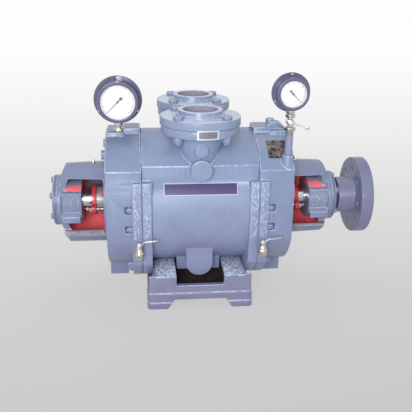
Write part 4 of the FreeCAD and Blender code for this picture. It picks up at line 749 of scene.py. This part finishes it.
# Plates: thin metal plates pinned to the casing, all blank. The long one is enamelled aluminium, dark
# violet blue and semi gloss inside a pale rim.
low_corner, high_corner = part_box("name_plate")
rim_width = 0.0022
name_enamel, tree, shader, place = finish_named("violet_enamelled_plate")
apart = add(tree, "ShaderNodeSeparateXYZ", None, {0: place})
off_x = add(tree, "ShaderNodeMath", {"operation": "SUBTRACT", 1: (low_corner.x + high_corner.x) / 2},
            {0: apart.outputs["X"]})
far_x = add(tree, "ShaderNodeMath", {"operation": "ABSOLUTE"}, {0: off_x.outputs[0]})
off_z = add(tree, "ShaderNodeMath", {"operation": "SUBTRACT", 1: (low_corner.z + high_corner.z) / 2},
            {0: apart.outputs["Z"]})
far_z = add(tree, "ShaderNodeMath", {"operation": "ABSOLUTE"}, {0: off_z.outputs[0]})
half_length = (high_corner.x - low_corner.x) / 2
half_width = (high_corner.z - low_corner.z) / 2
rim_x = add(tree, "ShaderNodeMath", {"operation": "GREATER_THAN", 1: half_length - rim_width},
            {0: far_x.outputs[0]})
rim_z = add(tree, "ShaderNodeMath", {"operation": "GREATER_THAN", 1: half_width - rim_width},
            {0: far_z.outputs[0]})
rim = add(tree, "ShaderNodeMath", {"operation": "MAXIMUM"}, {0: rim_x.outputs[0], 1: rim_z.outputs[0]})
cloud = add(tree, "ShaderNodeTexNoise", {"Scale": 1 / 0.0167, "Detail": 3.0}, {"Vector": place})
field = add(tree, "ShaderNodeMix", {"data_type": "RGBA", 6: linear("#3b3261"), 7: linear("#4a3f71")},
            {0: cloud.outputs["Fac"]})
plate_tone = add(tree, "ShaderNodeMix", {"data_type": "RGBA", 7: linear("#b9bbda")},
                 {0: rim.outputs[0], 6: field.outputs[2]})
tree.links.new(plate_tone.outputs[2], shader.inputs["Base Color"])
shader.inputs["Roughness"].default_value = 0.34
dress("name_plate", name_enamel)

# The tag is bare aluminium sheet with a brushed, darker panel inside a bright margin.
low_tag, high_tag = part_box("tag_plate")
margin_x = 0.005
margin_z = 0.0035
tag_metal, tree, shader, place = finish_named("bare_tag_plate")
apart = add(tree, "ShaderNodeSeparateXYZ", None, {0: place})
off_x = add(tree, "ShaderNodeMath", {"operation": "SUBTRACT", 1: (low_tag.x + high_tag.x) / 2},
            {0: apart.outputs["X"]})
far_x = add(tree, "ShaderNodeMath", {"operation": "ABSOLUTE"}, {0: off_x.outputs[0]})
off_z = add(tree, "ShaderNodeMath", {"operation": "SUBTRACT", 1: (low_tag.z + high_tag.z) / 2},
            {0: apart.outputs["Z"]})
far_z = add(tree, "ShaderNodeMath", {"operation": "ABSOLUTE"}, {0: off_z.outputs[0]})
half_length = (high_tag.x - low_tag.x) / 2
half_width = (high_tag.z - low_tag.z) / 2
rim_x = add(tree, "ShaderNodeMath", {"operation": "LESS_THAN", 1: half_length - margin_x},
            {0: far_x.outputs[0]})
rim_z = add(tree, "ShaderNodeMath", {"operation": "LESS_THAN", 1: half_width - margin_z},
            {0: far_z.outputs[0]})
panel = add(tree, "ShaderNodeMath", {"operation": "MULTIPLY"}, {0: rim_x.outputs[0], 1: rim_z.outputs[0]})
cloud = add(tree, "ShaderNodeTexNoise", {"Scale": 1 / 0.005, "Detail": 3.0}, {"Vector": place})
panel_tone = add(tree, "ShaderNodeMix", {"data_type": "RGBA", 6: linear("#6f7080"), 7: linear("#9c9daa")},
                 {0: cloud.outputs["Fac"]})
tag_tone = add(tree, "ShaderNodeMix", {"data_type": "RGBA", 6: linear("#dfe1e8")},
               {0: panel.outputs[0], 7: panel_tone.outputs[2]})
tree.links.new(tag_tone.outputs[2], shader.inputs["Base Color"])
shader.inputs["Metallic"].default_value = 0.6
shader.inputs["Roughness"].default_value = 0.35
dress("tag_plate", tag_metal)

# The head's plate is bronze that has dulled unevenly, dark brown with paler, rubbed patches.
bronze_plate, tree, shader, place = finish_named("dull_bronze_plate")
patina = add(tree, "ShaderNodeTexNoise", {"Scale": 1 / 0.01333, "Detail": 5.0, "Roughness": 0.65},
             {"Vector": place})
tone = add(tree, "ShaderNodeValToRGB", None, {0: patina.outputs["Fac"]})
tone.color_ramp.elements[0].position = 0.42
tone.color_ramp.elements[0].color = linear("#2e2629")
tone.color_ramp.elements[1].position = 0.68
tone.color_ramp.elements[1].color = linear("#988e8c")
tree.links.new(tone.outputs["Color"], shader.inputs["Base Color"])
shader.inputs["Metallic"].default_value = 0.7
shader.inputs["Roughness"].default_value = 0.45
dress("head_plate", bronze_plate)

# Stage: a pale sweep behind the pump, in soft even light from above and in front.
floor_size = 9.0
back_edge = 3.4
bpy.ops.object.select_all(action="DESELECT")
bpy.ops.mesh.primitive_plane_add(size=floor_size, location=(0, -1.0, 0))
sweep = bpy.context.object
sweep.name = "sweep"
bpy.ops.object.transform_apply(location=True, rotation=True, scale=True)
bpy.ops.object.mode_set(mode="EDIT")
bpy.ops.mesh.select_mode(type="EDGE")
bpy.ops.mesh.select_all(action="DESELECT")
net = bmesh.from_edit_mesh(sweep.data)
for edge in net.edges:
    edge.select = all(end.co.y > back_edge for end in edge.verts)
bmesh.update_edit_mesh(sweep.data)
bpy.ops.mesh.extrude_region_move(TRANSFORM_OT_translate={"value": (0, 0, 4.0)})
bpy.ops.mesh.select_all(action="DESELECT")
net = bmesh.from_edit_mesh(sweep.data)
for edge in net.edges:
    edge.select = all(end.co.y > back_edge and end.co.z < 0.1 for end in edge.verts)
bmesh.update_edit_mesh(sweep.data)
bpy.ops.mesh.bevel(offset=1.2, segments=16, affect="EDGES")
bpy.ops.object.mode_set(mode="OBJECT")
bpy.ops.object.shade_smooth()
# The paper is matt and pale. Seen directly and in reflections it mostly glows with painted light, darker near
# the front and almost white behind; the lamps light only a small share of it, so the pump's shadow stays
# faint.
sweep_paper, tree, shader, place = finish_named("pale_sweep_with_painted_glow")
apart = add(tree, "ShaderNodeSeparateXYZ", None, {0: place})
along = add(tree, "ShaderNodeMath", {"operation": "MULTIPLY_ADD", 1: 2.0},
            {0: apart.outputs["Z"], 2: apart.outputs["Y"]})
share = add(tree, "ShaderNodeMapRange", {"From Min": -1.0, "From Max": 5.0},
            {"Value": along.outputs[0]})
shade = add(tree, "ShaderNodeValToRGB", None, {0: share.outputs["Result"]})
stops = shade.color_ramp.elements
stops[0].position = 0.05
stops[0].color = linear("#cacaca")
stops[1].position = 0.80
stops[1].color = linear("#ffffff")
for position, colour in ((0.12, "#d3d3d3"), (0.18, "#dadada"), (0.30, "#e7e7e7"), (0.42, "#ededed"),
                         (0.55, "#f3f3f3")):
    stop = stops.new(position)
    stop.color = linear(colour)
glow = add(tree, "ShaderNodeEmission", {"Strength": 1.0}, {"Color": shade.outputs["Color"]})
matt = add(tree, "ShaderNodeBsdfDiffuse", None, {"Color": shade.outputs["Color"]})
even = add(tree, "ShaderNodeMapRange", {"From Min": 0.12, "From Max": 0.45, "To Min": 0.70, "To Max": 0.97},
           {"Value": share.outputs["Result"]})
seen = add(tree, "ShaderNodeMixShader", None,
           {0: even.outputs["Result"], 1: matt.outputs[0], 2: glow.outputs[0]})
rays = add(tree, "ShaderNodeLightPath")
glossy = add(tree, "ShaderNodeMath", {"operation": "MAXIMUM"},
             {0: rays.outputs["Is Camera Ray"], 1: rays.outputs["Is Glossy Ray"]})
either = add(tree, "ShaderNodeMath", {"operation": "MAXIMUM"},
             {0: glossy.outputs[0], 1: rays.outputs["Is Transmission Ray"]})
matt_only = add(tree, "ShaderNodeBsdfDiffuse", {"Color": linear("#d8d8d8")})
both = add(tree, "ShaderNodeMixShader", None,
           {0: either.outputs[0], 1: matt_only.outputs[0], 2: seen.outputs[0]})
tree.links.new(both.outputs[0], tree.nodes["Material Output"].inputs["Surface"])
sweep.data.materials.append(sweep_paper)

for name, lamp_place, power, size in (("key", (-0.7, -3.1, 1.35), 81, 1.1),
                                      ("fill", (1.9, -1.6, 1.5), 5, 1.8),
                                      ("top", (0.0, 0.9, 2.6), 12, 1.6)):
    bpy.ops.object.light_add(type="AREA", location=lamp_place)
    lamp = bpy.context.object
    lamp.name = name
    lamp.data.energy = power
    lamp.data.size = size
    lamp.rotation_euler = (Vector((0, 0, 0.3)) - lamp.location).to_track_quat("-Z", "Y").to_euler()
world = bpy.data.worlds.new("surround")
bpy.context.scene.world = world
world.use_nodes = True
tree = world.node_tree
lit_air = tree.nodes["Background"]
lit_air.inputs[0].default_value = linear("#eeeef4")
lit_air.inputs[1].default_value = 0.5
seen_air = add(tree, "ShaderNodeBackground", {"Color": linear("#e2e2e2"), "Strength": 1.0})
rays = add(tree, "ShaderNodeLightPath")
glossy = add(tree, "ShaderNodeMath", {"operation": "MAXIMUM"},
             {0: rays.outputs["Is Camera Ray"], 1: rays.outputs["Is Glossy Ray"]})
air = add(tree, "ShaderNodeMixShader", None,
          {0: glossy.outputs[0], 1: lit_air.outputs[0], 2: seen_air.outputs[0]})
tree.links.new(air.outputs[0], tree.nodes["World Output"].inputs["Surface"])
bpy.context.scene.view_settings.view_transform = "Standard"
